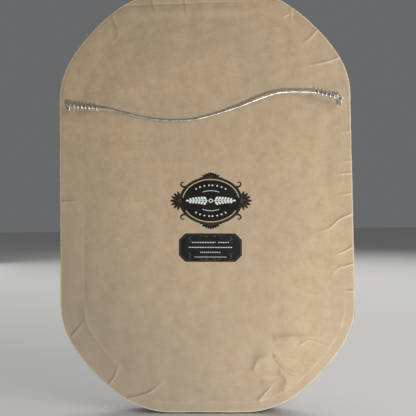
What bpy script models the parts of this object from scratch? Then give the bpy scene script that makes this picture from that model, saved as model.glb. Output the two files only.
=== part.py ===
"""A wall-hung moth case: an oblong, round-cornered wooden frame with convex glass, a luna moth
pinned on a dark board behind it, and a papered back with a hanging wire between two screw eyes.

It is drawn lying on its back, as on a framer's bench: x to the right and y up as seen from the
front, z from the paper towards the front. The empty "case" then turns it upright, so that +Z is
up, the glass faces -Y and the paper faces +Y. Left and right are those of someone who looks at
the glass.
"""
import math

import bmesh
import bpy
from mathutils import Matrix, Vector

MM = 0.001
GAP = 0.3 * MM

# The case's outline: straight sides, three arcs at each corner and short flat ends
HALF_WIDTH = 120 * MM
SIDE_HALF = 84 * MM
SHOULDER_RADIUS = 63.3 * MM
SHOULDER_TURN = math.radians(32.8)
SWEEP_RADIUS = 150.8 * MM
END_RADIUS = 73.4 * MM
END_TURN = math.radians(36.2)
ARC_STEPS = 5

# Depths from the paper's outer face towards the front
PAPER_THICK = 0.5 * MM
PAPER_TRIM = 0.4 * MM
WOOD_BACK = PAPER_THICK + GAP
BACKING_BACK = 3 * MM
BACKING_THICK = 2 * MM
BOARD_BACK = BACKING_BACK + BACKING_THICK + GAP
BOARD_THICK = 4 * MM
BOARD_FRONT = BOARD_BACK + BOARD_THICK
SLIP_BACK = BOARD_FRONT + GAP
SLIP_FRONT = SLIP_BACK + 2.4 * MM
GLASS_THICK = 2 * MM
GLASS_BACK = SLIP_FRONT + GAP
LIP_BACK = GLASS_BACK + GLASS_THICK + GAP

# The moulding, as insets from the outline
RABBET = 20 * MM
SIGHT = 28 * MM
FIT_IN = RABBET + 0.5 * MM
MOULDING_PROFILE = (
    (0.0, WOOD_BACK),
    (0.0, 10.6 * MM),
    (1.5 * MM, 11.4 * MM),
    (0.4 * MM, 13.0 * MM),
    (0.0, 14.8 * MM),
    (0.7 * MM, 16.8 * MM),
    (2.6 * MM, 18.0 * MM),
    (4.6 * MM, 17.6 * MM),
    (5.0 * MM, 16.6 * MM),
    (7.6 * MM, 17.6 * MM),
    (10.0 * MM, 20.0 * MM),
    (11.4 * MM, 23.0 * MM),
    (13.2 * MM, 24.6 * MM),
    (15.2 * MM, 24.2 * MM),
    (16.6 * MM, 22.2 * MM),
    (20.4 * MM, 20.2 * MM),
    (23.6 * MM, 17.6 * MM),
    (25.6 * MM, 18.2 * MM),
    (27.4 * MM, 17.4 * MM),
    (SIGHT, 15.8 * MM),
    (SIGHT, LIP_BACK),
    (RABBET, LIP_BACK),
    (RABBET, WOOD_BACK),
)
SLIP_INNER = 31.5 * MM
SLIP_PROFILE = (
    (FIT_IN, SLIP_BACK),
    (FIT_IN, SLIP_FRONT),
    (27.6 * MM, SLIP_FRONT),
    (SLIP_INNER - 0.6 * MM, SLIP_FRONT - 0.8 * MM),
    (SLIP_INNER, SLIP_FRONT - 1.6 * MM),
    (SLIP_INNER, SLIP_BACK),
)

# The convex glass: a flat rim, then a dome that starts just inside the sight edge
DOME_FOOT = 29 * MM
DOME_RISE = 20 * MM
DOME_POWER = 2.2
DOME_RINGS = 7

# The screw eyes, and the hanging wire between them
EYE_WIRE = 0.7 * MM
EYE_RING = 2.6 * MM
EYE_NECK = 1.2 * MM
EYE_ARC = (22, 333)
EYE_ARC_STEPS = 14
EYE_OFF = 5.6 * MM
EYE_DEPTH = 9.5 * MM
EYE_RIGHT = Vector((109.4, 75.5)) * MM
EYE_RIGHT_LEAN = math.radians(16)
EYE_LEFT = Vector((-110.0, 76.5)) * MM
EYE_LEFT_LEAN = 0.0
SHANK_SIDES = 12
DRILL_OVERRUN = 1 * MM
WIRE_RADIUS = 0.825 * MM
WRAP_RADIUS = 2.45 * MM
WRAP_SIDES = 14
LOOP_RADIUS = 1.9 * MM
LOOP_STEPS = 6
LOOP_HALF_WIDTH = 0.85 * MM
LOOP_SEAT = 2.0 * MM
WRAP_RIGHT = (Vector((103.4, 76.7, -5.2)) * MM, Vector((87.2, 75.3, -4.1)) * MM)
WRAP_LEFT = (Vector((-104.6, 80.5, -5.3)) * MM, Vector((-91.2, 84.0, -5.1)) * MM)

# The wire's route from the right wrap to the left one, as x, y and how far it stands off the paper, in mm
WIRE_ROUTE = (
    (82.0, 74.9, 3.7),
    (76.7, 74.2, 3.2),
    (65.4, 71.6, 2.4),
    (52.4, 68.3, 1.7),
    (40.1, 65.9, 1.3),
    (27.8, 64.6, 1.15),
    (13.0, 64.8, 1.15),
    (4.3, 65.9, 1.15),
    (-2.6, 67.5, 1.2),
    (-9.2, 69.1, 1.4),
    (-17.0, 71.2, 1.8),
    (-29.7, 75.0, 2.7),
    (-37.8, 77.8, 3.4),
    (-48.6, 81.5, 4.2),
    (-55.0, 83.4, 4.6),
    (-61.9, 84.7, 4.9),
    (-68.7, 85.2, 5.0),
    (-74.8, 85.2, 5.0),
    (-80.8, 84.9, 5.0),
    (-86.0, 84.6, 5.05),
)
WIRE_STEP = 4.6 * MM
STEPS_BETWEEN = 40

# The two paper labels on the back
LABEL_TURN = math.radians(0.8)
LABEL_THICK = 0.3 * MM
STICKER_CENTRE = Vector((-4.8, -1.4)) * MM
STICKER_HALF = Vector((25.9, 19.6)) * MM
STICKER_FAN = (Vector((24.0, 0)) * MM, 8.8 * MM)
STICKER_CREST = (Vector((0, 14.6)) * MM, 8.7 * MM)
STICKER_CURL = (Vector((24.3, 12.7)) * MM, 1.7 * MM)
STICKER_POINTS = 96
CARD_CENTRE = Vector((-3.9, -39.6)) * MM
CARD_HALF = Vector((25.5, 11.5)) * MM
CARD_CLIP = 5.2 * MM

# The moth: its body along y, as y, half width and half depth, all from the middle of the thorax
MOTH_CENTRE = Vector((0, 18, 15.9)) * MM
HEAD = ((9.7, 0.9, 0.8), (9.3, 1.8, 1.6), (8.4, 2.5, 2.2), (7.4, 2.7, 2.5), (6.45, 2.6, 2.5))
THORAX = (
    (6.15, 2.9, 2.8),
    (5.2, 3.9, 3.6),
    (3.2, 4.6, 4.2),
    (0.4, 4.8, 4.4),
    (-2.8, 4.5, 4.1),
    (-6.1, 3.8, 3.5),
)
ABDOMEN = (
    (-6.4, 3.7, 3.4),
    (-8.6, 4.2, 3.8),
    (-12.6, 4.2, 3.8),
    (-16.8, 3.6, 3.3),
    (-20.4, 2.5, 2.4),
    (-22.6, 1.3, 1.2),
    (-23.1, 0.5, 0.5),
)
BODY_SIDES = 16
EYE_BALL = 1.25 * MM
EYE_BALL_PLACE = Vector((2.35, 8.0, 0.1)) * MM
PIN_RADIUS = 0.3 * MM
PIN_TIP = BOARD_FRONT - 3 * MM
PIN_POINT = 1.5 * MM
PIN_TOP = 25.2 * MM
PIN_HEAD = 0.8 * MM
PIN_HEAD_DEPTH = 1.2 * MM
PIN_SIDES = 10

# The wings: outlines from the thorax's middle, as x and y in mm, and rises, droops and veins also in mm
WING_THICK = 0.5 * MM
FOREWING_LIFT = 0.9 * MM
HINDWING_LIFT = -0.6 * MM
FORE_CAMBER = (1.4, 0.1)
HIND_CAMBER = (0.0, 0.9)
VEIN_RISE = 0.4
VEIN_FADE = 0.6
VEIN_HALF = 0.022
INNER_EDGE_RISE = 0.4
WING_ROWS = 9
MARGIN_STEPS = 200
FORE_ROOT = (4.4, -1.6)
FORE_COSTA = ((10, 9.2), (20, 18.6), (32, 27.6), (42, 32.6), (49, 34.0))
FORE_INNER = ((12, -3.0), (22, -3.6), (32, -3.4), (43.6, -2.0))
FORE_OUTER = ((52.4, 31.6), (52.2, 27.0), (49.2, 18.6), (46.6, 9.6), (45.2, 2.2))
FORE_VEINS = (0.14, 0.28, 0.42, 0.55, 0.68, 0.82)
HIND_ROOT = (1.2, -5.6)
HIND_COSTA = ((9, 3.4), (18, 5.0), (28, 4.2), (36, 0.6))
HIND_INNER = ((5.6, -11.0), (7.6, -18.0), (10.4, -24.0), (13.4, -28.0))
HIND_OUTER = ((39.6, -5.2), (39.0, -12.4), (35.6, -20.6), (30.6, -27.4), (27.0, -32.0))
HIND_TAIL_BASE = ((23.6, -34.2), (18.0, -33.2))
HIND_VEINS = (0.15, 0.3, 0.44)
TAIL_VEINS = (0.66, 0.82)
TAIL_SPAN = (0.55, 0.93)
TAIL_LINE = ((21.4, -40.0), (20.6, -47.0), (21.0, -54.0), (22.6, -61.0), (25.0, -67.0), (27.4, -71.0))
TAIL_HALF_WIDTHS = (3.7, 2.7, 2.3, 2.4, 3.0, 3.1, 0.9)
TAIL_ROWS = 7
TAIL_DROP = 0.1
TAIL_VEIN_RISE = 0.25

# The feelers and legs, from the thorax's middle
FEELER_THICK = 0.5 * MM
FEELER_LENGTH = 11.5 * MM
FEELER_TEETH = 12
FEELER_ROOT = Vector((2.15, 9.65, 0.7)) * MM
FEELER_HEADING = math.radians(52)
FEELER_BENDS = (math.radians(-0.9), math.radians(1.0))
SHAFT_HALF = 0.28 * MM
TOOTH_REACH = 2.1 * MM
TOOTH_SWELL = (0.16, 0.8, 0.8)
TOOTH_SLANT = math.radians(52)
TOOTH_TIP = 0.2 * MM
LEGS = {
    "fore": ((1.9, 4.6, -4.0), (4.3, 6.9, -4.5), (4.0, 10.2, -4.6), (4.8, 12.8, -4.7), (5.6, 14.4, -4.7)),
    "mid": ((2.3, 0.6, -4.75), (6.4, 2.2, -4.9), (9.6, -2.0, -5.0), (12.4, -5.8, -5.1), (13.8, -8.0, -5.1)),
    "hind": ((2.2, -3.6, -4.45), (6.0, -6.0, -4.8), (7.6, -11.0, -4.9), (8.6, -15.6, -5.0), (9.0, -18, -5.0)),
}
LEG_RADII = (0.75, 0.62, 0.45, 0.34, 0.25)

for old in list(bpy.data.objects):
    bpy.data.objects.remove(old, do_unlink=True)

parts = bpy.data.collections.new("moth_case")
cutters = bpy.data.collections.new("cutters")
bpy.context.scene.collection.children.link(parts)
bpy.context.scene.collection.children.link(cutters)

case = bpy.data.objects.new("case", None)
case.rotation_euler = (math.pi / 2, 0, 0)
parts.objects.link(case)


def material(name, colour, roughness, metallic=0.0, alpha=1.0):
    """A plain material of one colour."""
    made = bpy.data.materials.new(name)
    made.use_nodes = True
    shader = made.node_tree.nodes["Principled BSDF"]
    shader.inputs["Base Color"].default_value = (*colour, 1)
    shader.inputs["Roughness"].default_value = roughness
    shader.inputs["Metallic"].default_value = metallic
    shader.inputs["Alpha"].default_value = alpha
    return made


MOULDING_WOOD = material("moulding_wood", (0.05, 0.028, 0.018), 0.35)
GILT = material("gilt", (0.72, 0.5, 0.2), 0.3, 1.0)
CLEAR_GLASS = material("clear_glass", (0.9, 0.95, 0.95), 0.05, 0.0, 0.25)
VELVET = material("velvet", (0.012, 0.012, 0.014), 0.9)
BROWN_BOARD = material("brown_board", (0.3, 0.2, 0.12), 0.85)
KRAFT = material("kraft_paper", (0.48, 0.33, 0.19), 0.85)
STEEL = material("bright_steel", (0.7, 0.7, 0.7), 0.3, 1.0)
PRINT = material("black_print", (0.02, 0.02, 0.02), 0.45)
PIN_ENAMEL = material("pin_enamel", (0.03, 0.03, 0.03), 0.3)
WHITE_WOOL = material("white_wool", (0.85, 0.84, 0.78), 0.95)
MINT_WING = material("mint_wing", (0.62, 0.8, 0.62), 0.8)
DARK_EYE = material("dark_eye", (0.02, 0.015, 0.012), 0.2)
FEELER_TAN = material("feeler_tan", (0.55, 0.38, 0.16), 0.8)
LEG_PINK = material("leg_pink", (0.45, 0.22, 0.2), 0.8)


def keep(made, surface, group=parts):
    """Puts a finished object in the case, with its material."""
    group.objects.link(made)
    made.parent = case
    if surface:
        made.data.materials.append(surface)
    return made


def as_mesh(curve):
    """A curve object made a mesh object of the same name, with its caps welded; the curve is removed."""
    bpy.context.view_layer.update()
    name = curve.name
    mesh = bpy.data.meshes.new_from_object(curve.evaluated_get(bpy.context.evaluated_depsgraph_get()))
    bm = bmesh.new()
    bm.from_mesh(mesh)
    bmesh.ops.remove_doubles(bm, verts=bm.verts, dist=0.00001)
    bm.to_mesh(mesh)
    bm.free()
    made = bpy.data.objects.new(name + "_mesh", mesh)
    for group in curve.users_collection:
        group.objects.link(made)
    made.parent = curve.parent
    made.matrix_world = curve.matrix_world
    bpy.data.objects.remove(curve, do_unlink=True)
    made.name = name
    return made


def cut(target, cutter):
    """Takes a cutter's shape out of a part."""
    cutter.hide_render = True
    cutter.display_type = "WIRE"
    taken = target.modifiers.new("cut", "BOOLEAN")
    taken.operation = "DIFFERENCE"
    taken.object = cutter


def from_rings(name, rings, surface):
    """A closed solid drawn through rings of points, with its two ends capped."""
    bm = bmesh.new()
    loops = [[bm.verts.new(point) for point in ring] for ring in rings]
    for lower, upper in zip(loops, loops[1:]):
        for k in range(len(lower)):
            after = (k + 1) % len(lower)
            bm.faces.new((lower[k], lower[after], upper[after], upper[k]))
    bm.faces.new(reversed(loops[0]))
    bm.faces.new(loops[-1])
    bmesh.ops.recalc_face_normals(bm, faces=bm.faces)
    mesh = bpy.data.meshes.new(name)
    bm.to_mesh(mesh)
    bm.free()
    mesh.shade_smooth()
    mesh.set_sharp_from_angle(angle=math.radians(40))
    return keep(bpy.data.objects.new(name, mesh), surface)


def tube(name, points, radius, surface, taper=None, group=parts):
    """A round tube along points, with filled caps."""
    curve = bpy.data.curves.new(name, "CURVE")
    curve.dimensions = "3D"
    curve.bevel_depth = radius
    curve.bevel_resolution = 2
    curve.use_fill_caps = True
    spline = curve.splines.new("POLY")
    spline.points.add(len(points) - 1)
    for k, point in enumerate(points):
        spline.points[k].co = (*point, 1)
        spline.points[k].radius = taper[k] if taper else 1.0
    return keep(bpy.data.objects.new(name, curve), surface, group)


def plate(name, loops, back, thick, surface):
    """A flat plate: the first loop is its outline and any others are holes."""
    curve = bpy.data.curves.new(name, "CURVE")
    curve.dimensions = "2D"
    curve.fill_mode = "BOTH"
    curve.extrude = thick / 2
    for loop in loops:
        spline = curve.splines.new("POLY")
        spline.points.add(len(loop) - 1)
        spline.use_cyclic_u = True
        for k, point in enumerate(loop):
            spline.points[k].co = (point[0], point[1], 0, 1)
    made = bpy.data.objects.new(name, curve)
    made.location.z = back + thick / 2
    return keep(made, surface)


def circle(centre, radius, sides):
    """Points round a circle."""
    turn = math.tau / sides
    return [Vector((centre[0] + radius * math.cos(k * turn), centre[1] + radius * math.sin(k * turn)))
            for k in range(sides)]


def smooth(points, count):
    """Evenly numbered points on a smooth curve through the given ones."""
    points = [Vector(point) for point in points]
    line = [points[0] * 2 - points[1]] + points + [points[-1] * 2 - points[-2]]
    made = []
    for k in range(count):
        place = k / (count - 1) * (len(points) - 1)
        span = min(int(place), len(points) - 2)
        t = place - span
        a, b, c, d = line[span:span + 4]
        made.append((b * 2 + (c - a) * t + (a * 2 - b * 5 + c * 4 - d) * t ** 2
                     + (b * 3 - a - c * 3 + d) * t ** 3) / 2)
    return made


def outline(inset):
    """The case's outline, drawn inset inside its edge, from the right side round by the top."""
    arcs = (
        (SHOULDER_RADIUS, 0.0, SHOULDER_TURN),
        (SWEEP_RADIUS, SHOULDER_TURN, math.pi / 2 - END_TURN),
        (END_RADIUS, math.pi / 2 - END_TURN, math.pi / 2),
    )
    centre = Vector((HALF_WIDTH - SHOULDER_RADIUS, SIDE_HALF))
    radius_before = SHOULDER_RADIUS
    quarter = [centre + Vector((SHOULDER_RADIUS - inset, 0))]
    for radius, start, end in arcs:
        facing = Vector((math.cos(start), math.sin(start)))
        centre = centre + facing * (radius_before - radius)
        radius_before = radius
        for k in range(1, ARC_STEPS + 1):
            angle = start + (end - start) * k / ARC_STEPS
            quarter.append(centre + Vector((math.cos(angle), math.sin(angle))) * (radius - inset))
    top = quarter + [Vector((-p.x, p.y)) for p in reversed(quarter)]
    return top + [Vector((-p.x, -p.y)) for p in top]


def moulded_ring(name, profile, surface):
    """A ring that follows the case's outline, with a section of insets and depths."""
    section = bpy.data.curves.new(name + "_section", "CURVE")
    section.dimensions = "2D"
    spline = section.splines.new("POLY")
    spline.points.add(len(profile) - 1)
    spline.use_cyclic_u = True
    for k, (inset, depth) in enumerate(profile):
        spline.points[k].co = (inset, depth, 0, 1)
    guide = bpy.data.objects.new(name + "_section", section)
    guide.hide_render = True
    cutters.objects.link(guide)
    path = bpy.data.curves.new(name, "CURVE")
    path.dimensions = "2D"
    path.fill_mode = "NONE"
    path.bevel_mode = "OBJECT"
    path.bevel_object = guide
    spline = path.splines.new("POLY")
    points = outline(0)
    spline.points.add(len(points) - 1)
    spline.use_cyclic_u = True
    for k, point in enumerate(points):
        spline.points[k].co = (point.x, point.y, 0, 1)
    made = as_mesh(keep(bpy.data.objects.new(name, path), surface))
    bpy.data.objects.remove(guide, do_unlink=True)
    return made


def glass_dome():
    """The convex glass: a flat rim under the lip, and a dome whose rings turn from the outline to an oval."""
    foot = outline(DOME_FOOT)
    half_width = max(point.x for point in foot)
    half_height = max(point.y for point in foot)
    rings = [(outline(FIT_IN), GLASS_BACK), (foot, GLASS_BACK)]
    for k in range(1, DOME_RINGS + 1):
        share = 1 - k / (DOME_RINGS + 1)
        ring = []
        for point in foot:
            angle = math.atan2(point.y / half_height, point.x / half_width)
            oval = Vector((half_width * math.cos(angle), half_height * math.sin(angle)))
            ring.append(point.lerp(oval, 1 - share) * share)
        rings.append((ring, GLASS_BACK + DOME_RISE * (1 - share ** DOME_POWER)))
    bm = bmesh.new()
    loops = [[bm.verts.new((p.x, p.y, height)) for p in ring] for ring, height in rings]
    for outer, inner in zip(loops, loops[1:]):
        for k in range(len(outer)):
            after = (k + 1) % len(outer)
            bm.faces.new((outer[k], outer[after], inner[after], inner[k]))
    crown = bm.verts.new((0, 0, GLASS_BACK + DOME_RISE))
    last = loops[-1]
    for k, vert in enumerate(last):
        bm.faces.new((vert, last[(k + 1) % len(last)], crown))
    bmesh.ops.triangulate(bm, faces=bm.faces)
    mesh = bpy.data.meshes.new("glass_dome")
    bm.to_mesh(mesh)
    bm.free()
    mesh.shade_smooth()
    glass = keep(bpy.data.objects.new("glass_dome", mesh), CLEAR_GLASS)
    wall = glass.modifiers.new("wall", "SOLIDIFY")
    wall.thickness = GLASS_THICK
    wall.offset = 1


def screw_eye(name, ring_centre, lean):
    """A screw eye whose ring stands across the wire and leans inwards; returns its shank's place."""
    inward = -math.copysign(1.0, ring_centre.x)
    shank_x = ring_centre.x - inward * math.tan(lean) * (EYE_OFF - EYE_NECK)
    flat = [(0.0, -EYE_DEPTH), (0.0, EYE_NECK)]
    start, end = EYE_ARC
    for k in range(EYE_ARC_STEPS + 1):
        angle = math.radians(start + (end - start) * k / EYE_ARC_STEPS)
        flat.append((EYE_RING * math.sin(angle), EYE_OFF - EYE_RING * math.cos(angle)))
    points = []
    for across, off in flat:
        leaned = inward * math.tan(lean) * max(off - EYE_NECK, 0)
        points.append(Vector((shank_x + leaned, ring_centre.y + across, -off)))
    tube(name, points, EYE_WIRE, STEEL)
    return Vector((shank_x, ring_centre.y))


def wire_wrap(name, ring_centre, ends):
    """The wire's end: a loop round the ring's upper side, and the turns that bind it to the standing wire."""
    near, far = ends
    along = (far - near).normalized()
    across = Vector((-along.y, along.x, 0)).normalized()
    if across.y < 0:
        across = -across
    outward = math.copysign(1.0, ring_centre.x)
    hub = Vector((ring_centre.x, ring_centre.y + EYE_RING, -EYE_OFF))
    seat = near + along * LOOP_SEAT
    loop = [seat - across * LOOP_HALF_WIDTH]
    for k in range(LOOP_STEPS + 1):
        angle = math.pi * (k / LOOP_STEPS - 0.5)
        loop.append(hub + Vector((outward * math.cos(angle), math.sin(angle), 0)) * LOOP_RADIUS)
    loop.append(seat + across * LOOP_HALF_WIDTH)
    strand = as_mesh(tube(name + "_loop", loop, WIRE_RADIUS, None, None, cutters))
    bpy.ops.mesh.primitive_cylinder_add(
        vertices=WRAP_SIDES, radius=WRAP_RADIUS, depth=(far - near).length, location=(near + far) / 2,
        rotation=Vector((0, 0, 1)).rotation_difference(along).to_euler())
    turns = bpy.context.active_object
    turns.name = name + "_turns"
    bpy.context.collection.objects.unlink(turns)
    cutters.objects.link(turns)
    turns.parent = case
    fused(name, turns, [strand], STEEL)


def fused(name, first, others, surface):
    """One closed solid from pieces that cross, kept as its largest surface."""
    group = bpy.data.collections.new(name + "_pieces")
    bpy.context.scene.collection.children.link(group)
    for piece in others:
        group.objects.link(piece)
    join = first.modifiers.new("join", "BOOLEAN")
    join.operation = "UNION"
    join.operand_type = "COLLECTION"
    join.collection = group
    bpy.context.view_layer.update()
    mesh = bpy.data.meshes.new_from_object(first.evaluated_get(bpy.context.evaluated_depsgraph_get()))
    made = keep(bpy.data.objects.new(name + "_whole", mesh), surface)
    made.matrix_local = first.matrix_local
    for piece in others + [first]:
        bpy.data.objects.remove(piece, do_unlink=True)
    bpy.data.collections.remove(group)
    made.name = name
    return made


def hanging_wire():
    """The stiff wire, which sags to the paper and humps up again near the left eye."""
    route = [Vector((x, y, -off)) * MM for x, y, off in WIRE_ROUTE]
    start, end = WRAP_RIGHT[1], WRAP_LEFT[1]
    route.insert(0, start + (route[0] - start).normalized() * GAP)
    route.append(end + (route[-1] - end).normalized() * GAP)
    fine = smooth(route, STEPS_BETWEEN * len(route))
    points = [fine[0]]
    run = 0.0
    for before, after in zip(fine, fine[1:]):
        run += (after - before).length
        if run >= WIRE_STEP:
            points.append(after)
            run = 0.0
    points[-1] = fine[-1]
    tube("hanging_wire", points, WIRE_RADIUS, STEEL)


def turned(points, centre):
    """A label's outline turned a little and put in its place."""
    turn = Matrix.Rotation(LABEL_TURN, 2)
    return [centre + turn @ point for point in points]


def reach(centre, radius, heading):
    """How far a disc reaches from the origin along a heading, or 0 where the heading misses it."""
    along = centre.dot(heading)
    square = radius ** 2 - centre.length_squared + along ** 2
    return along + math.sqrt(square) if square > 0 and along > 0 else 0.0


def sticker_outline():
    """An oval with a fan at each side, a crest at each end and four small curls between."""
    points = []
    for k in range(STICKER_POINTS):
        angle = math.tau * k / STICKER_POINTS
        heading = Vector((math.cos(angle), math.sin(angle)))
        first = Vector((abs(heading.x), abs(heading.y)))
        oval = 1 / math.hypot(heading.x / STICKER_HALF.x, heading.y / STICKER_HALF.y)
        discs = [reach(*disc, first) for disc in (STICKER_FAN, STICKER_CREST, STICKER_CURL)]
        points.append(heading * max(oval, *discs))
    return points


def card_outline():
    """An oblong with its corners clipped."""
    wide, high = CARD_HALF
    run, rise = wide - CARD_CLIP, high - CARD_CLIP
    top = [(wide, rise), (run, high), (-run, high), (-wide, rise)]
    return [Vector(corner) for corner in top] + [Vector((-x, -y)) for x, y in top]


def body_ring(y, half_width, half_depth):
    """A round section of the moth's body."""
    turn = math.tau / BODY_SIDES
    return [MOTH_CENTRE + Vector((half_width * math.cos(k * turn), y, half_depth * math.sin(k * turn))) * MM
            for k in range(BODY_SIDES)]


def body_part(name, stations, count):
    """A length of the moth's body through its stations."""
    return from_rings(name, [body_ring(*station) for station in smooth(stations, count)], WHITE_WOOL)


def thorax_side(y, lift):
    """How far the thorax's side, with its gap, stands from the middle at y and a height, in mm."""
    rings = smooth(THORAX, STEPS_BETWEEN * len(THORAX))
    nearest = min(rings, key=lambda ring: abs(ring[0] - y))
    level = abs(lift / MM) / nearest[2]
    return nearest[1] * math.sqrt(1 - level ** 2) + GAP / MM


def wing_columns(veins):
    """Where the grid's columns run across a wing, and how high each stands: a ridge along each vein."""
    columns = [(0.0, 1.0)]
    for vein, after in zip(veins, veins[1:] + (1.0,)):
        columns += [(vein - VEIN_HALF, 0.0), (vein, 1.0), (vein + VEIN_HALF, 0.0), ((vein + after) / 2, 0.0)]
    return columns + [(1.0, INNER_EDGE_RISE)]


def wing(name, side, root, lift, camber, edges, veins, tail=None):
    """A thin wing with raised veins that run from its root to its margin, and a tail if it has one."""
    costa_points, inner_points, outer_points, tail_base = edges
    rise, droop = camber
    top_y, low_y = root
    root_top = Vector((thorax_side(top_y, lift), top_y))
    root_low = Vector((thorax_side(low_y, lift), low_y))
    costa = smooth([root_top] + list(costa_points), WING_ROWS + 1)
    inner = smooth([root_low] + list(inner_points), WING_ROWS + 1)
    columns = wing_columns(veins)
    margin = smooth([costa_points[-1]] + list(outer_points) + list(tail_base) + [inner_points[-1]],
                    MARGIN_STEPS + 1)
    rows = []
    for r in range(WING_ROWS + 1):
        u = r / WING_ROWS
        row = []
        for v, ridge in columns:
            edge_y = top_y + (low_y - top_y) * v
            root_point = Vector((thorax_side(edge_y, lift), edge_y))
            margin_point = margin[round(v * MARGIN_STEPS)]
            corners = ((1 - u) * (1 - v) * root_top + u * (1 - v) * costa[-1]
                       + (1 - u) * v * root_low + u * v * inner[-1])
            flat = (1 - v) * costa[r] + v * inner[r] + (1 - u) * root_point + u * margin_point - corners
            height = VEIN_RISE * ridge * (1 - VEIN_FADE * u) + rise * u ** 2 * (1 - v) - droop * u * v
            row.append(Vector((side * flat.x, flat.y, lift / MM + height)))
        rows.append((0, row))
    if tail:
        first = next(k for k, column in enumerate(columns) if column[0] >= TAIL_SPAN[0])
        last = max(k for k, column in enumerate(columns) if column[0] <= TAIL_SPAN[1])
        rows += tail_rows(side, rows[-1][1][first:last + 1], columns[first:last + 1], first)
    return membrane(name, rows)


def tail_rows(side, base, columns, first):
    """The rows of a hindwing's tail, from its base in the margin to its rounded tip."""
    middle = (base[0] + base[-1]) / 2
    line = smooth([(side * middle.x, middle.y)] + list(TAIL_LINE), TAIL_ROWS + 1)
    widths = smooth([(w, 0) for w in TAIL_HALF_WIDTHS], TAIL_ROWS + 1)
    low, high = columns[0][0], columns[-1][0]
    made = []
    for r in range(1, TAIL_ROWS + 1):
        ahead = (line[min(r + 1, TAIL_ROWS)] - line[r - 1]).normalized()
        across = Vector((-ahead.y, ahead.x))
        row = []
        for v, ridge in columns:
            share = 1 - 2 * (v - low) / (high - low)
            flat = line[r] + across * share * widths[r].x
            height = base[0].z - TAIL_DROP * r + TAIL_VEIN_RISE * ridge * (1 - r / (TAIL_ROWS + 1))
            row.append(Vector((side * flat.x, flat.y, height)))
        made.append((first, row))
    return made


def membrane(name, rows):
    """A sheet through rows of points, each row starting at its own column, given a wing's thickness."""
    bm = bmesh.new()
    grid = [(start, [bm.verts.new(MOTH_CENTRE + point * MM) for point in row]) for start, row in rows]
    for (start, upper), (after, lower) in zip(grid, grid[1:]):
        for k in range(len(lower) - 1):
            shift = k + after - start
            bm.faces.new((upper[shift], upper[shift + 1], lower[k + 1], lower[k]))
    bmesh.ops.triangulate(bm, faces=bm.faces, quad_method="ALTERNATE")
    bmesh.ops.recalc_face_normals(bm, faces=bm.faces)
    mesh = bpy.data.meshes.new(name)
    bm.to_mesh(mesh)
    bm.free()
    mesh.shade_smooth()
    made = keep(bpy.data.objects.new(name, mesh), MINT_WING)
    wall = made.modifiers.new("wall", "SOLIDIFY")
    wall.thickness = WING_THICK
    wall.offset = 0
    return made


def feeler(name, side):
    """A feathered feeler: a curved shaft with a comb of slanting teeth along each edge."""
    steps = 2 * FEELER_TEETH
    shaft = []
    heading = FEELER_HEADING
    place = Vector(FEELER_ROOT.xy)
    for k in range(steps + 1):
        shaft.append((place.copy(), heading))
        heading += FEELER_BENDS[0] if k < steps / 2 else FEELER_BENDS[1]
        place += Vector((math.cos(heading), math.sin(heading))) * FEELER_LENGTH / steps
    edges = []
    for edge in (-1, 1):
        points = []
        for k in range(0, steps, 2):
            here, facing = shaft[k]
            beyond = shaft[k + 1][0]
            start, span, power = TOOTH_SWELL
            swell = math.sin(math.pi * (start + span * k / steps)) ** power
            ahead = Vector((math.cos(facing), math.sin(facing)))
            aside = Vector((-ahead.y, ahead.x)) * edge * SHAFT_HALF
            slant = facing + edge * TOOTH_SLANT
            tip = here + Vector((math.cos(slant), math.sin(slant))) * TOOTH_REACH * swell
            points += [here + aside, tip, tip + ahead * TOOTH_TIP, beyond + aside]
        edges.append(points)
    loop = edges[0] + [shaft[-1][0]] + edges[1][::-1]
    return plate(name, [[Vector((side * p.x, p.y)) + MOTH_CENTRE.xy for p in loop]],
                 MOTH_CENTRE.z + FEELER_ROOT.z, FEELER_THICK, FEELER_TAN)


def leg(name, side, joints):
    """A leg: thigh, shin and foot, bent at the knee and thinner towards the claw."""
    points = [MOTH_CENTRE + Vector((side * x, y, z)) * MM for x, y, z in joints]
    tube(name, points, 1.0 * MM, LEG_PINK, LEG_RADII)


def ball(name, centre, radius, surface, group=parts):
    """A small round ball."""
    bpy.ops.mesh.primitive_uv_sphere_add(segments=12, ring_count=8, radius=radius, location=centre)
    made = bpy.context.active_object
    made.name = name
    made.data.shade_smooth()
    bpy.context.collection.objects.unlink(made)
    return keep(made, surface, group)


def rod(name, centre_xy, back, front, radius, sides):
    """A cutter: a straight round rod along the depth."""
    bpy.ops.mesh.primitive_cylinder_add(
        vertices=sides, radius=radius, depth=front - back, location=(*centre_xy, (back + front) / 2))
    made = bpy.context.active_object
    made.name = name
    bpy.context.collection.objects.unlink(made)
    return keep(made, None, cutters)


def specimen_pin():
    """The pin through the thorax: a thin shaft with a round head, turned in one piece."""
    shoulder = 0.6 * PIN_HEAD
    profile = (
        (0, PIN_TOP),
        (shoulder, PIN_TOP - 0.1 * PIN_HEAD_DEPTH),
        (PIN_HEAD, PIN_TOP - 0.5 * PIN_HEAD_DEPTH),
        (shoulder, PIN_TOP - 0.9 * PIN_HEAD_DEPTH),
        (PIN_RADIUS, PIN_TOP - PIN_HEAD_DEPTH),
        (PIN_RADIUS, PIN_TIP + PIN_POINT),
        (0, PIN_TIP),
    )
    mesh = bpy.data.meshes.new("specimen_pin")
    mesh.from_pydata([(x, 0, z) for x, z in profile], [(k, k + 1) for k in range(len(profile) - 1)], [])
    made = keep(bpy.data.objects.new("specimen_pin", mesh), PIN_ENAMEL)
    made.location = (*MOTH_CENTRE.xy, 0)
    turning = made.modifiers.new("turn", "SCREW")
    turning.steps = turning.render_steps = PIN_SIDES
    turning.use_merge_vertices = True
    turning.merge_threshold = 0.00001


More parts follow.
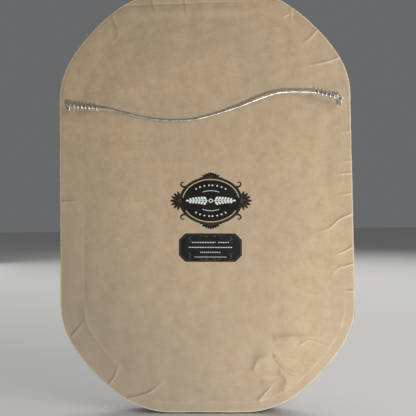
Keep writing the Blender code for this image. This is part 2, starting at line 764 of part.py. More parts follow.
def build_case():
    """The moulding, slip, glass and boards."""
    moulding = moulded_ring("frame_moulding", MOULDING_PROFILE, MOULDING_WOOD)
    moulded_ring("frame_slip", SLIP_PROFILE, GILT)
    glass_dome()
    pin_hole = circle(MOTH_CENTRE.xy, PIN_RADIUS + GAP, PIN_SIDES)
    plate("mount_board", [outline(FIT_IN), pin_hole], BOARD_BACK, BOARD_THICK, VELVET)
    plate("backing_board", [outline(FIT_IN)], BACKING_BACK, BACKING_THICK, BROWN_BOARD)
    holes = []
    for side, place, lean in (("left", EYE_LEFT, EYE_LEFT_LEAN), ("right", EYE_RIGHT, EYE_RIGHT_LEAN)):
        shank = screw_eye("screw_eye_" + side, place, lean)
        holes.append(circle(shank, EYE_WIRE + GAP, SHANK_SIDES))
        cut(moulding, rod("shank_hole_" + side, shank, WOOD_BACK - DRILL_OVERRUN, EYE_DEPTH + GAP,
                          EYE_WIRE + GAP, SHANK_SIDES))
    plate("dust_cover", [outline(PAPER_TRIM)] + holes, 0, PAPER_THICK, KRAFT)


def build_back():
    """The hanging wire with its wraps, and the two labels."""
    wire_wrap("wire_wrap_left", EYE_LEFT, WRAP_LEFT)
    wire_wrap("wire_wrap_right", EYE_RIGHT, WRAP_RIGHT)
    hanging_wire()
    plate("sticker_oval", [turned(sticker_outline(), STICKER_CENTRE)], -GAP - LABEL_THICK, LABEL_THICK, PRINT)
    plate("label_card", [turned(card_outline(), CARD_CENTRE)], -GAP - LABEL_THICK, LABEL_THICK, PRINT)


def build_moth():
    """The pinned moth: body, eyes, wings, feelers and legs."""
    head = body_part("moth_head", HEAD, 7)
    thorax = body_part("moth_thorax", THORAX, 9)
    body_part("moth_abdomen", ABDOMEN, 11)
    cut(thorax, rod("pin_way", MOTH_CENTRE.xy, 0, PIN_TOP, PIN_RADIUS + GAP, PIN_SIDES))
    specimen_pin()
    fore_edges = (FORE_COSTA, FORE_INNER, FORE_OUTER, ())
    hind_edges = (HIND_COSTA, HIND_INNER, HIND_OUTER, HIND_TAIL_BASE)
    for name, side in (("left", -1), ("right", 1)):
        place = MOTH_CENTRE + Vector((side * EYE_BALL_PLACE.x, EYE_BALL_PLACE.y, EYE_BALL_PLACE.z))
        ball("moth_eye_" + name, place, EYE_BALL, DARK_EYE)
        cut(head, ball("eye_socket_" + name, place, EYE_BALL + GAP, None, cutters))
        feeler("moth_feeler_" + name, side)
        wing("moth_forewing_" + name, side, FORE_ROOT, FOREWING_LIFT, FORE_CAMBER, fore_edges, FORE_VEINS)
        veins = HIND_VEINS + TAIL_VEINS
        wing("moth_hindwing_" + name, side, HIND_ROOT, HINDWING_LIFT, HIND_CAMBER, hind_edges, veins, True)
        for pair, joints in LEGS.items():
            leg("moth_" + pair + "leg_" + name, side, joints)


build_case()
build_back()
build_moth()
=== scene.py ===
"""The looks of a framed luna moth: papered back with wire and labels, moulding, glass and pinned moth.

World frame: +Z up, the glass faces -Y, the papered back faces +Y. Left and right are those of
someone who looks at the glass. Shapes are written in millimetres and made in metres.
"""
import math

import bmesh
import bpy
import numpy as np
from mathutils import Matrix, Vector


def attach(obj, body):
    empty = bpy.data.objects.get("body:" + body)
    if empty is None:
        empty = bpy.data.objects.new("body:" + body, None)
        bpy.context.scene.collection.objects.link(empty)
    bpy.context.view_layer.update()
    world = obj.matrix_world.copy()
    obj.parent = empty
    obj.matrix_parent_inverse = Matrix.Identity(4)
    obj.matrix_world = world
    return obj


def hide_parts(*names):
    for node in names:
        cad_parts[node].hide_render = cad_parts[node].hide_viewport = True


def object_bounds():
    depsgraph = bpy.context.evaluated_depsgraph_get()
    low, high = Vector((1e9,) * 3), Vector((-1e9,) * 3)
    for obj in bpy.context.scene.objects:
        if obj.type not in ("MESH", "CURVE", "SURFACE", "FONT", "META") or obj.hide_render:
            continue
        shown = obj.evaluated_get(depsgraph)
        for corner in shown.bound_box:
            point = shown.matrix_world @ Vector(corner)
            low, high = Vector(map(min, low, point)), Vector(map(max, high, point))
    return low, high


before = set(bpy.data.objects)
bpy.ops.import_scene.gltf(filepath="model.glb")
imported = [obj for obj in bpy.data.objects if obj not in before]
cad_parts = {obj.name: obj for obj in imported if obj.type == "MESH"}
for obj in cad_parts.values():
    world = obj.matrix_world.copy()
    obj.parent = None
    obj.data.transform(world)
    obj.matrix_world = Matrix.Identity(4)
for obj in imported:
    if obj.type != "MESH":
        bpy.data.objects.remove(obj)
cad_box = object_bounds()
bpy.ops.object.select_all(action="DESELECT")

MM = 0.001
WELD = 0.000002
NEXT_TO_NOTHING = 1e-9
FULL_TURN = 2 * math.pi
BODY = "root"

# The case's outline: straight sides, three arcs at each corner and short flat ends
HALF_WIDTH = 120.0
SIDE_HALF = 84.0
SHOULDER_RADIUS = 63.3
SHOULDER_TURN = math.radians(32.8)
SWEEP_RADIUS = 150.8
END_RADIUS = 73.4
END_TURN = math.radians(36.2)
ARC_STEPS = 24
EDGE_POINTS = 360

# The screw eyes and the wire, as x, z and how far off the paper they stand
EYE_WIRE = 0.7
EYE_RING = 2.6
EYE_NECK = 1.2
EYE_OFF = 5.6
EYE_DEPTH = 9.5
EYE_RIGHT = (109.4, 75.5)
EYE_LEFT = (-110.0, 76.5)
WIRE_RADIUS = 0.825
WRAP_STRAND = 0.7
WRAP_RIGHT = ((103.4, 76.7, 5.2), (87.2, 75.3, 4.1))
WRAP_LEFT = ((-104.6, 80.5, 5.3), (-91.2, 84.0, 5.1))
WIRE_ROUTE = (
    (82.0, 74.9, 3.7),
    (76.7, 74.2, 3.2),
    (65.4, 71.6, 2.4),
    (52.4, 68.3, 1.7),
    (40.1, 65.9, 1.3),
    (27.8, 64.6, 1.15),
    (13.0, 64.8, 1.15),
    (4.3, 65.9, 1.15),
    (-2.6, 67.5, 1.2),
    (-9.2, 69.1, 1.4),
    (-17.0, 71.2, 1.8),
    (-29.7, 75.0, 2.7),
    (-37.8, 77.8, 3.4),
    (-48.6, 81.5, 4.2),
    (-55.0, 83.4, 4.6),
    (-61.9, 84.7, 4.9),
    (-68.7, 85.2, 5.0),
    (-74.8, 85.2, 5.0),
    (-80.8, 84.9, 5.0),
    (-86.0, 84.6, 5.05),
)

# The labels: their places and sizes, and how far their sheets and their ink stand off the paper
LABEL_TURN = math.radians(0.8)
STICKER_CENTRE = (-4.8, -1.4)
STICKER_HALF = (25.9, 19.6)
CARD_CENTRE = (-3.9, -39.6)
CARD_HALF = (25.5, 11.5)
CARD_CLIP = 5.2
LABEL_REST = 0.02
LABEL_THICK = 0.16
SHADING_LIFT = 0.19
INK_LIFT = 0.2
INK_THICK = 0.05

# Creases in the paper: height, half width and the line that each follows, as x and z
CREASES = (
    (0.5, 1.3, ((75.2, 153.5), (70.4, 137.4), (74.6, 131.6))),
    (0.55, 1.1, ((42.6, 168.0), (38.0, 152.0))),
    (0.55, 1.1, ((14.7, 168.0), (12.6, 151.5))),
    (0.45, 1.2, ((-72.9, 156.0), (-73.4, 142.7))),
    (0.35, 1.0, ((-66.2, 148.7), (-72.8, 152.6))),
    (0.5, 1.4, ((-93.7, 137.1), (-88.7, 131.5), (-82.1, 125.8))),
    (0.5, 1.2, ((-111.9, 114.3), (-101.2, 110.6), (-84.0, 107.5))),
    (0.35, 1.0, ((-119.4, 53.5), (-111.3, 52.8))),
    (0.35, 1.0, ((-118.8, 29.1), (-111.6, 29.2))),
    (0.45, 1.1, ((-118.6, 19.3), (-108.2, 18.7))),
    (0.35, 1.0, ((-119.1, 3.1), (-107.8, 1.6))),
    (0.6, 1.3, ((-118.7, -13.5), (-109.0, -17.8), (-99.2, -25.7), (-91.9, -27.3))),
    (0.5, 1.2, ((-118.1, -40.5), (-110.8, -44.4), (-105.2, -46.0))),
    (0.45, 1.2, ((-118.6, -54.1), (-108.1, -56.8), (-102.4, -61.2))),
    (0.35, 1.0, ((-118.9, -75.8), (-110.9, -75.7))),
    (0.35, 1.2, ((118.8, -0.6), (105.5, 0.0))),
    (0.45, 1.4, ((110.3, -110.4), (100.3, -99.1))),
    (0.5, 1.4, ((80.1, -149.3), (75.1, -142.5), (71.8, -134.0))),
    (0.7, 1.4, ((64.2, -160.3), (53.4, -158.2), (45.1, -154.6), (36.7, -147.6))),
    (1.2, 1.4, ((-54.7, -127.5), (-62.5, -136.4), (-72.4, -143.5))),
    (0.9, 2.6, ((-56.2, -112.6), (-75.0, -111.6), (-92.2, -112.1))),
    (0.4, 1.4, ((-75.7, -117.8), (-83.0, -114.7), (-98.0, -120.3))),
    (0.8, 1.4, ((-41.3, -162.3), (-53.1, -149.6))),
    (0.35, 2.2, ((100.2, -86.1), (97.0, -102.3), (84.8, -121.0), (75.0, -132.4))),
    (-0.3, 1.0, ((64.0, 161.6), (41.9, 162.0), (16.5, 162.2), (-14.7, 162.4), (-39.4, 162.3))),
    (1.0, 2.8, ((-58.5, -139.5), (-63.4, -146.0), (-61.5, -154.5))),
    (1.1, 2.8, ((-37.5, -137.0), (-41.0, -130.0), (-47.0, -127.4), (-54.0, -127.9))),
    (0.7, 2.0, ((-45.3, -148.0), (-54.3, -149.3))),
)
# Rounder bumps and hollows: height, half width, x and z
BUMPS = (
    (0.9, 5.0, -46.5, -133.5),
    (0.7, 3.6, -62.0, -152.5),
    (0.6, 5.5, -66.0, -113.0),
    (-0.5, 7.0, -69.0, -127.0),
    (0.35, 2.6, -97.7, 71.9),
    (0.3, 3.2, 97.6, 70.3),
    (-0.45, 24.0, 82.0, -50.0),
    (0.4, 34.0, -35.0, -114.0),
    (-0.3, 30.0, 60.0, 110.0),
    (0.25, 26.0, -60.0, 30.0),
    (0.5, 14.0, -8.0, 122.0),
    (0.5, 14.0, 12.0, 114.0),
    (0.5, 14.0, 32.0, 106.0),
    (0.45, 14.0, 52.0, 98.0),
    (0.35, 14.0, 70.0, 90.0),
)
CREASE_GAIN = 1.25
CREASE_POINTS = 6
CREASE_WIDTH = 0.8
CREASE_POWER = 1.3
# A crease is lower near the paper's edge, and dies away over this span of its length
CREASE_EDGE = 2.5
CREASE_EDGE_SHARE = 0.35
FADE_SHARE = 0.75
FADE_SPAN = (0.45, 1.05)
# Creases narrower than the limit are sharp folds, with painted shade on one side and a painted highlight on
# the other
FOLD_LIMIT = 1.45
FOLD_HALF = 0.5
FOLD_FULL_RISE = 0.5
# The step at the glue line, with the least share of it that is left towards the top
GLUE_BAND = 7.6
GLUE_STEP = 0.16
GLUE_LEAST = 0.3
GLUE_SOFT = 0.4
GLUE_LINE_HALF = 0.6
TRIM_MARK = 2.6
TRIM_MARK_HALF = 0.5
# The dip over the rebate, the swell inside it and the fall to the level middle
RABBET = 20.5
DIP_DEPTH = 0.07
DIP_HALF = 0.9
PILLOW_RISE = 0.95
PILLOW_RUN = 30.0
PILLOW_FALL = 0.84
PILLOW_LEVEL = 85.0
# The long fold across the top, the rounded edge, and the raised ring round a screw eye
TOP_RIDGE = 155.5
RIDGE_RISE = 0.7
RIDGE_HALF = 4.0
ROUND_FALL = 0.25
ROUND_HALF = 0.7
PUCKER_RISE = 0.35
PUCKER_RADIUS = 1.3
PUCKER_HALF = 0.9
# Waves: height, whether only slack paper has them, and two crossing sines by x, by z and start
WAVES = (
    (0.10, False, ((0.11, 0.0, 1.3), (0.0, 0.083, 0.4))),
    (0.2, True, ((0.21, -0.15, 1.1), (0.09, 0.19, 2.0))),
    (0.07, True, ((0.38, 0.24, 0.0), (-0.21, 0.43, 0.7))),
)
SLACK_LEAST = 0.4
SLACK_MIDDLE = 25
SLACK_HALF = 28
# Where these come in: the glue step, its painted highlight and the dip downwards, the trim mark upwards, and
# the two ends of the long fold
GLUE_SPAN = (40, 110)
GLUE_HIGHLIGHT_SPAN = (50, 110)
DIP_SPAN = (-10, 60)
TRIM_SPAN = (10, 90)
RIDGE_START = (-70, -20)
RIDGE_END = (-75, -45)
# How strong the glue line's painted highlight and the trim's mark are, and how uneven the first is
GLUE_HIGHLIGHT = 0.5
GLUE_HIGHLIGHT_EVEN = 0.6
GLUE_HIGHLIGHT_UNEVEN = 0.4
TRIM_SHARE = 0.4
# The painted shade of the marks and the trim line is stronger towards +x, and the painted highlights towards
# -x, over this span of x
MARK_SPAN = (-60, 60)
MARK_DARK = 0.4
MARK_PALE = 0.6
MARK_SHIFT = 0.35


def smooth(points, count):
    """Evenly numbered points on a smooth curve through the given ones, as rows of an array."""
    points = np.array(points, float)
    line = np.vstack([2 * points[0] - points[1], points, 2 * points[-1] - points[-2]])
    place = np.linspace(0, len(points) - 1, count)
    span = np.minimum(place.astype(int), len(points) - 2)
    t = (place - span)[:, None]
    a, b, c, d = (line[span + k] for k in range(4))
    return (2 * b + (c - a) * t + (2 * a - 5 * b + 4 * c - d) * t ** 2 + (3 * b - a - 3 * c + d) * t ** 3) / 2


def run_along(points):
    """How far along a line each of its points lies."""
    return np.concatenate([[0], np.cumsum(np.linalg.norm(np.diff(points, axis=0), axis=1))])


def unit(rows):
    """A vector, or rows of vectors, brought to a length of 1."""
    return rows / np.maximum(np.linalg.norm(rows, axis=-1, keepdims=True), NEXT_TO_NOTHING)


def towards(angle):
    """The unit vector at an angle in radians, as x and z."""
    return np.array([math.cos(angle), math.sin(angle)])


def bell(value, half):
    """1 where a value is 0, dying away smoothly on both sides over that half width."""
    return np.exp(-(value / half) ** 2)


def spaced(points, count):
    """Points at even distances along a line."""
    points = np.array(points, float)
    run = run_along(points)
    where = np.linspace(0, run[-1], count)
    return np.stack([np.interp(where, run, points[:, k]) for k in range(points.shape[1])], axis=1)


def outline(inset, steps=ARC_STEPS):
    """The case's outline, drawn inset inside its edge, as closed x, z points."""
    arcs = (
        (SHOULDER_RADIUS, 0.0, SHOULDER_TURN),
        (SWEEP_RADIUS, SHOULDER_TURN, math.pi / 2 - END_TURN),
        (END_RADIUS, math.pi / 2 - END_TURN, math.pi / 2),
    )
    centre = np.array([HALF_WIDTH - SHOULDER_RADIUS, SIDE_HALF])
    before = SHOULDER_RADIUS
    quarter = [centre + (SHOULDER_RADIUS - inset, 0)]
    for radius, start, end in arcs:
        centre = centre + towards(start) * (before - radius)
        before = radius
        for k in range(1, steps + 1):
            quarter.append(centre + towards(start + (end - start) * k / steps) * (radius - inset))
    quarter = np.array(quarter)
    top = np.vstack([quarter, quarter[::-1] * (-1, 1)])
    return np.vstack([top, -top, top[:1]])


EDGE = spaced(outline(0), EDGE_POINTS)


def line_distance(x, z, line):
    """How far points lie from a line of straight stretches."""
    best = np.full(np.shape(x), np.inf)
    line = np.array(line, float)
    for (ax, az), (bx, bz) in zip(line, line[1:]):
        length = max((bx - ax) ** 2 + (bz - az) ** 2, NEXT_TO_NOTHING)
        share = np.clip(((x - ax) * (bx - ax) + (z - az) * (bz - az)) / length, 0, 1)
        best = np.minimum(best, np.hypot(x - ax - share * (bx - ax), z - az - share * (bz - az)))
    return best


def eased(value, low, high):
    """A value carried from 0 at low to 1 at high, smoothly at both ends."""
    share = np.clip((value - low) / (high - low), 0, 1)
    return share ** 2 * (3 - 2 * share)


def crease_line(line):
    """The smooth line that a crease follows."""
    return smooth(line, CREASE_POINTS * len(line)) if len(line) > 2 else line


def raise_creases(height, x, z, inside):
    """Adds the creases, the rounder bumps and the ring round each screw eye to the paper's heights."""
    for rise, half, line in CREASES:
        far = line_distance(x, z, crease_line(line))
        lasting = crease_fade(x, z, line) * np.clip(inside / CREASE_EDGE, CREASE_EDGE_SHARE, 1)
        height += CREASE_GAIN * rise * lasting * np.exp(-(far / (CREASE_WIDTH * half)) ** CREASE_POWER)
    for rise, half, cx, cz in BUMPS:
        height += rise * np.exp(-((x - cx) ** 2 + (z - cz) ** 2) / half ** 2)
    for cx, cz in (EYE_RIGHT, EYE_LEFT):
        height += PUCKER_RISE * bell(np.hypot(x - cx, z - cz) - PUCKER_RADIUS, PUCKER_HALF)


def paper_height(x, z):
    """How high the paper's face stands off its plane, in mm. It is flat on the moulding, steps up
    at the glue line and again where the board begins, and is creased and wavy."""
    inside = line_distance(x, z, EDGE)
    step = GLUE_STEP * (GLUE_LEAST + (1 - GLUE_LEAST) * eased(-z, *GLUE_SPAN))
    height = step / (1 + np.exp(-(inside - GLUE_BAND) / GLUE_SOFT))
    height += PILLOW_RISE * (1 - (1 - np.clip((inside - RABBET) / PILLOW_RUN, 0, 1)) ** 2)
    height -= DIP_DEPTH * bell(inside - RABBET, DIP_HALF) * eased(-z, *DIP_SPAN)
    height -= (PILLOW_FALL + step) * eased(inside, RABBET + PILLOW_RUN, PILLOW_LEVEL)
    height += RIDGE_RISE * bell(z - TOP_RIDGE, RIDGE_HALF) * eased(x, *RIDGE_START) * eased(-x, *RIDGE_END)
    slack = SLACK_LEAST + (1 - SLACK_LEAST) * bell(inside - SLACK_MIDDLE, SLACK_HALF)
    for rise, where_slack, crossing in WAVES:
        wave = rise * (slack if where_slack else 1.0)
        for across, up, start in crossing:
            wave = wave * np.sin(across * x + up * z + start)
        height += wave
    height -= ROUND_FALL * bell(inside, ROUND_HALF)
    raise_creases(height, x, z, inside)
    return height


def crease_fade(x, z, line):
    """How much is left of a crease, which dies away towards its inner end."""
    start, end = np.array(line[0], float), np.array(line[-1], float)
    way = (end - start) / np.sum((end - start) ** 2)
    return 1 - FADE_SHARE * eased((x - start[0]) * way[0] + (z - start[1]) * way[1], *FADE_SPAN)


def painted_light_and_trim(x, z):
    """How much painted shade the paper gets on the upper side of its sharp folds, and how much painted
    highlight on the lower side. The trim line joins the shade, and a painted highlight along the glue line
    joins the highlights.
    """
    dark = np.zeros(np.shape(x))
    pale = np.zeros(np.shape(x))
    for rise, half, line in CREASES:
        if half < FOLD_LIMIT:
            strength = min(1, abs(rise) / FOLD_FULL_RISE) * crease_fade(x, z, line)
            for mark, side in ((dark, -1), (pale, 1)):
                far = line_distance(x, z + side * math.copysign(FOLD_HALF, rise), crease_line(line))
                mark[:] = np.maximum(mark, strength * bell(far, FOLD_HALF))
    inside = line_distance(x, z, EDGE)
    # A painted highlight along the glue line's step, towards the bottom only and uneven along its length
    glue = GLUE_HIGHLIGHT * bell(inside - GLUE_BAND - GLUE_LINE_HALF, GLUE_LINE_HALF) * eased(-z, *GLUE_HIGHLIGHT_SPAN)
    glue *= GLUE_HIGHLIGHT_EVEN + GLUE_HIGHLIGHT_UNEVEN * np.sin(0.31 * x - 0.17 * z)
    trim = TRIM_SHARE * bell(inside - TRIM_MARK, TRIM_MARK_HALF) * eased(z, *TRIM_SPAN)
    # Painted shade grows towards +x and painted highlights grow towards -x, where the lamps stand
    shift = MARK_SHIFT * eased(x, *MARK_SPAN)
    return np.maximum(dark, trim) * (MARK_DARK + shift), np.maximum(pale, glue) * (MARK_PALE - shift)


def pick(*pieces):
    """Selects some objects and nothing else, and makes the first of them the active one."""
    bpy.ops.object.select_all(action="DESELECT")
    for piece in pieces:
        piece.select_set(True)
    bpy.context.view_layer.objects.active = pieces[0]


def select_all_of(piece):
    """Opens one object for editing, with all of its mesh selected."""
    pick(piece)
    bpy.ops.object.mode_set(mode="EDIT")
    bpy.ops.mesh.select_all(action="SELECT")


def leave_editing():
    """Goes back to object mode with nothing selected."""
    bpy.ops.object.mode_set(mode="OBJECT")
    bpy.ops.object.select_all(action="DESELECT")


def woven(name, places, closed=False, **tags):
    """A grid primitive shaped to rows of places in mm. Places that meet are merged, and a closed
    body gets its faces turned outwards. A tag is a value for each place, kept on the mesh."""
    rows, columns = places.shape[:2]
    bpy.ops.object.select_all(action="DESELECT")
    bpy.ops.mesh.primitive_grid_add(x_subdivisions=columns - 1, y_subdivisions=rows - 1, size=1)
    made = bpy.context.active_object
    made.name = name
    made.data.name = name
    made.data.vertices.foreach_set("co", (places * MM).astype(np.float32).ravel())
    made.data.update()
    for tag, values in tags.items():
        layer = made.data.attributes.new(tag, "FLOAT", "POINT")
        layer.data.foreach_set("value", np.broadcast_to(values, (rows, columns)).astype(np.float32).ravel())
    if closed:
        select_all_of(made)
        bpy.ops.mesh.remove_doubles(threshold=WELD)
        bpy.ops.mesh.select_all(action="SELECT")
        bpy.ops.mesh.normals_make_consistent(inside=False)
        leave_editing()
    return made


def ring_at(ring, depth):
    """A ring of x, z points at a depth behind the paper's face, as x, y, z."""
    return np.stack([ring[:, 0], np.full(len(ring), -depth), ring[:, 1]], axis=1)


def swept(name, runs, steps, **tags):
    """A closed frame: a profile of smooth runs of inset and depth, carried round the outline."""
    rings = [ring_at(outline(inset, steps), depth) for inset, depth in profile_points(runs)]
    return woven(name, np.array(rings), closed=True, **tags)


def profile_points(runs):
    """The runs of a profile as one line of points, each run smooth in itself and closed at the end."""
    points = [np.array(runs[0][:1], float)]
    for run in runs:
        count = 2 if len(run) == 2 else max(4, int(run_along(np.array(run, float))[-1] / PROFILE_STEP))
        points.append(smooth(run, count)[1:])
    return np.concatenate(points)


def placed(name, data):
    """A new object with that name and data, in the scene."""
    made = bpy.data.objects.new(name, data)
    bpy.context.scene.collection.objects.link(made)
    return made


def mirror_copy(piece, name):
    """A copy on the other side of the middle, with its own mesh."""
    mesh = piece.data.copy()
    mesh.name = name
    mesh.transform(Matrix.Diagonal((-1, 1, 1, 1)))
    mesh.flip_normals()
    return placed(name, mesh)


def tag_of(tree, name):
    """A value kept on the mesh under that name."""
    return add(tree, "Attribute", attribute_name=name).outputs["Fac"]


def side_steps(path):
    """Two unit vectors across a path at each of its points, turned as little as can be."""
    ahead = unit(np.gradient(path, axis=0))
    first = [unit(np.cross(ahead[0], (0, 0, 1) if abs(ahead[0][2]) < 0.9 else (1, 0, 0)))]
    for k in range(1, len(path)):
        first.append(unit(first[-1] - ahead[k] * np.dot(first[-1], ahead[k])))
    first = np.array(first)
    return first, np.cross(ahead, first)


def rod_along(name, path, radii, sides, groove=0.0):
    """A round closed rod along a path in mm; with a groove it is laid up from strands of wire."""
    path = np.array(path, float)
    radii = np.broadcast_to(radii, len(path))
    first, second = side_steps(path)
    turn = np.linspace(0, FULL_TURN, sides + 1)
    twist = run_along(path)[:, None] * FULL_TURN / STRAND_LAY
    swell = 1 - groove * (1 - np.abs(np.cos((turn[None, :] + twist) * STRANDS / 2)))
    reach = radii[:, None] * swell
    rings = (path[:, None, :] + first[:, None, :] * (np.cos(turn)[None, :] * reach)[:, :, None]
             + second[:, None, :] * (np.sin(turn)[None, :] * reach)[:, :, None])
    start, end = (np.repeat(place[None, None, :], sides + 1, axis=1) for place in (path[0], path[-1]))
    return woven(name, np.concatenate([start, rings, end]), closed=True)


def joined(name, pieces):
    """Several objects made one, with that name."""
    pick(*pieces)
    bpy.ops.object.join()
    bpy.ops.object.select_all(action="DESELECT")
    pieces[0].name = name
    pieces[0].data.name = name
    return pieces[0]


def thickened(sheet, heading, thick, offset=-1.0):
    """Merges the places that meet in an open sheet, turns its faces towards a heading, and gives it
    a thickness in mm."""
    select_all_of(sheet)
    bpy.ops.mesh.remove_doubles(threshold=WELD)
    bpy.ops.mesh.select_all(action="DESELECT")
    work = bmesh.from_edit_mesh(sheet.data)
    for face in work.faces:
        face.select = face.normal.dot(Vector(heading)) < 0
    bmesh.update_edit_mesh(sheet.data)
    bpy.ops.mesh.flip_normals()
    leave_editing()
    pick(sheet)
    shell = sheet.modifiers.new("wall", "SOLIDIFY")
    shell.thickness = thick * MM
    shell.offset = offset
    bpy.ops.object.modifier_apply(modifier=shell.name)
    return sheet


def painted(piece, surface):
    """Gives a piece its one material."""
    piece.data.materials.clear()
    piece.data.materials.append(surface)


def dressed(piece, surface, slot, *nodes, angle=40):
    """Finishes a piece: its material, its shading and its body; the solids it stands for are hidden. The slot
    is not used.
    """
    painted(piece, surface)
    pick(piece)
    bpy.ops.object.shade_smooth_by_angle(angle=math.radians(angle))
    bpy.ops.object.select_all(action="DESELECT")
    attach(piece, BODY)
    if nodes:
        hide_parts(*nodes)
    return piece


def dressed_pair(right, name, surface, slot, angle=60):
    """Finishes a right piece of the moth and its mirror image on the left."""
    left = mirror_copy(right, name + "_left")
    right.name = name + "_right"
    for piece, side in ((right, "_right"), (left, "_left")):
        dressed(piece, surface, slot, "moth_" + name + side, angle=angle)


def new_finish(name, colour, roughness, metallic=0.0, **sockets):
    """A material with its shader, ready for detail: the material, its node tree and the shader."""
    made = bpy.data.materials.new(name)
    made.use_nodes = True
    tree = made.node_tree
    shader = tree.nodes["Principled BSDF"]
    shader.inputs["Base Color"].default_value = (*colour, 1)
    shader.inputs["Roughness"].default_value = roughness
    shader.inputs["Metallic"].default_value = metallic
    for socket, value in sockets.items():
        shader.inputs[socket.replace("_", " ")].default_value = value
    return made, tree, shader


def fill(tree, socket, value):
    """Links a value into a socket, or sets it there. A colour may be given as three numbers."""
    if isinstance(value, bpy.types.NodeSocket):
        tree.links.new(value, socket)
    elif socket.type == "RGBA" and len(value) == 3:
        socket.default_value = (*value, 1)
    else:
        socket.default_value = value


def add(tree, kind, inputs=None, **settings):
    """A node with its settings, and its inputs set or linked."""
    made = tree.nodes.new("ShaderNode" + kind)
    for name, value in settings.items():
        setattr(made, name, value)
    for name, value in (inputs or {}).items():
        fill(tree, made.inputs[name], value)
    return made


def coordinates(tree, kind="Object"):
    """Places on the piece, in the case's frame or along the piece's UV map."""
    return add(tree, "TexCoord").outputs[kind]


def axes_of(tree, where=None):
    """Places on the piece, told apart as X, Y and Z."""
    where = coordinates(tree) if where is None else where
    return add(tree, "SeparateXYZ", {"Vector": where}).outputs


def place_on(tree, stretch=(1, 1, 1), turn=(0, 0, 0)):
    """Places on the piece, stretched and turned."""
    return add(tree, "Mapping", {"Vector": coordinates(tree), "Scale": stretch,
                                 "Rotation": turn}).outputs["Vector"]


def noise(tree, where, scale, detail=4.0, rough=0.55):
    """A cloudy value from 0 to 1."""
    return add(tree, "TexNoise", {"Vector": where, "Scale": scale, "Detail": detail,
                                  "Roughness": rough}).outputs["Fac"]


def ramp(tree, value, stops):
    """A colour read off a few stops."""
    made = add(tree, "ValToRGB", {"Fac": value})
    band = made.color_ramp
    while len(band.elements) < len(stops):
        band.elements.new(0.5)
    for element, (position, colour) in zip(band.elements, stops):
        element.position = position
        element.color = (*colour, 1)
    return made.outputs["Color"]


def blend(tree, share, first, second):
    """Two colours mixed by a share."""
    return add(tree, "Mix", {0: share, 6: first, 7: second}, data_type="RGBA").outputs[2]


def over(tree, base, *coats):
    """A colour with others laid over it in turn, each given as its share and its colour."""
    for share, colour in coats:
        base = blend(tree, share, base, colour)
    return base


def working(tree, operation, *values):
    """Any working of one to three values."""
    return add(tree, "Math", dict(enumerate((*values, 0.0, 0.0)[:3])), operation=operation).outputs[0]


def product(tree, first, second):
    """Two values multiplied."""
    return working(tree, "MULTIPLY", first, second)


def plus(tree, first, second):
    """Two values added."""
    return working(tree, "ADD", first, second)


def minus(tree, first, second):
    """A second value taken from a first."""
    return working(tree, "SUBTRACT", first, second)


def between(tree, value, low, high, start=0.0, end=1.0):
    """A value carried from one range to another, smoothly at both ends."""
    made = add(tree, "MapRange", {"Value": value, "From Min": low, "From Max": high, "To Min": start,
                                  "To Max": end}, interpolation_type="SMOOTHSTEP")
    return made.outputs["Result"]


def raise_by(tree, shader, height, depth, strength=1.0):
    """Lets a value stand as relief, with a depth in mm."""
    made = add(tree, "Bump", {"Height": height, "Distance": depth * MM, "Strength": strength})
    tree.links.new(made.outputs["Normal"], shader.inputs["Normal"])


def colour_by(tree, shader, colour):
    """Leads a colour into the shader."""
    tree.links.new(colour, shader.inputs["Base Color"])


def rough_by(tree, shader, value):
    """Leads a roughness into the shader."""
    tree.links.new(value, shader.inputs["Roughness"])


# Camera, lights and floor

CAMERA_PLACE = (-0.0137, 0.3637, -0.0174)
CAMERA_RIGHT = (-0.9994, -0.0314, -0.0138)
CAMERA_BACK = (-0.0310, 0.9991, -0.0277)
CAMERA_ANGLE = math.radians(50)
FLOOR_DROP = 0.0008
FLOOR_SIZE = 14
SKY_COLOUR = (0.86, 0.88, 0.9)
SKY_STRENGTH = 0.16
# The lamps: name, place, size, power and colour. The first two light the papered back
LAMPS = (
    ("low_key", (-0.272, 0.541, -0.36), 0.075, 3.15, (1.0, 0.98, 0.94)),
    ("side_key", (-0.50, 0.35, 0.24), 0.4, 1.9, (1.0, 0.97, 0.93)),
    ("front_key", (-0.5, -1.0, 1.0), 1.0, 11.0, (1, 1, 1)),
    ("front_fill", (1.1, -0.8, 0.4), 1.1, 4.5, (1, 1, 1)),
)


def make_camera():
    """The camera, square to the papered back, at the photograph's distance."""
    data = bpy.data.cameras.new("camera")
    data.angle = CAMERA_ANGLE
    camera = placed("camera", data)
    back = Vector(CAMERA_BACK).normalized()
    up = back.cross(Vector(CAMERA_RIGHT)).normalized()
    right = up.cross(back)
    turn = Matrix((right, up, back)).transposed().to_4x4()
    camera.matrix_world = Matrix.Translation(CAMERA_PLACE) @ turn
    bpy.context.scene.camera = camera


def soft_light(name, place, size, power, colour):
    """A square soft lamp aimed at the middle of the back. The lamp itself stays out of the picture."""
    data = bpy.data.lights.new(name, "AREA")
    data.size = size
    data.energy = power
    data.color = colour
    lamp = placed(name, data)
    lamp.visible_camera = False
    lamp.location = place
    lamp.rotation_euler = (-Vector(place)).to_track_quat("-Z", "Y").to_euler()


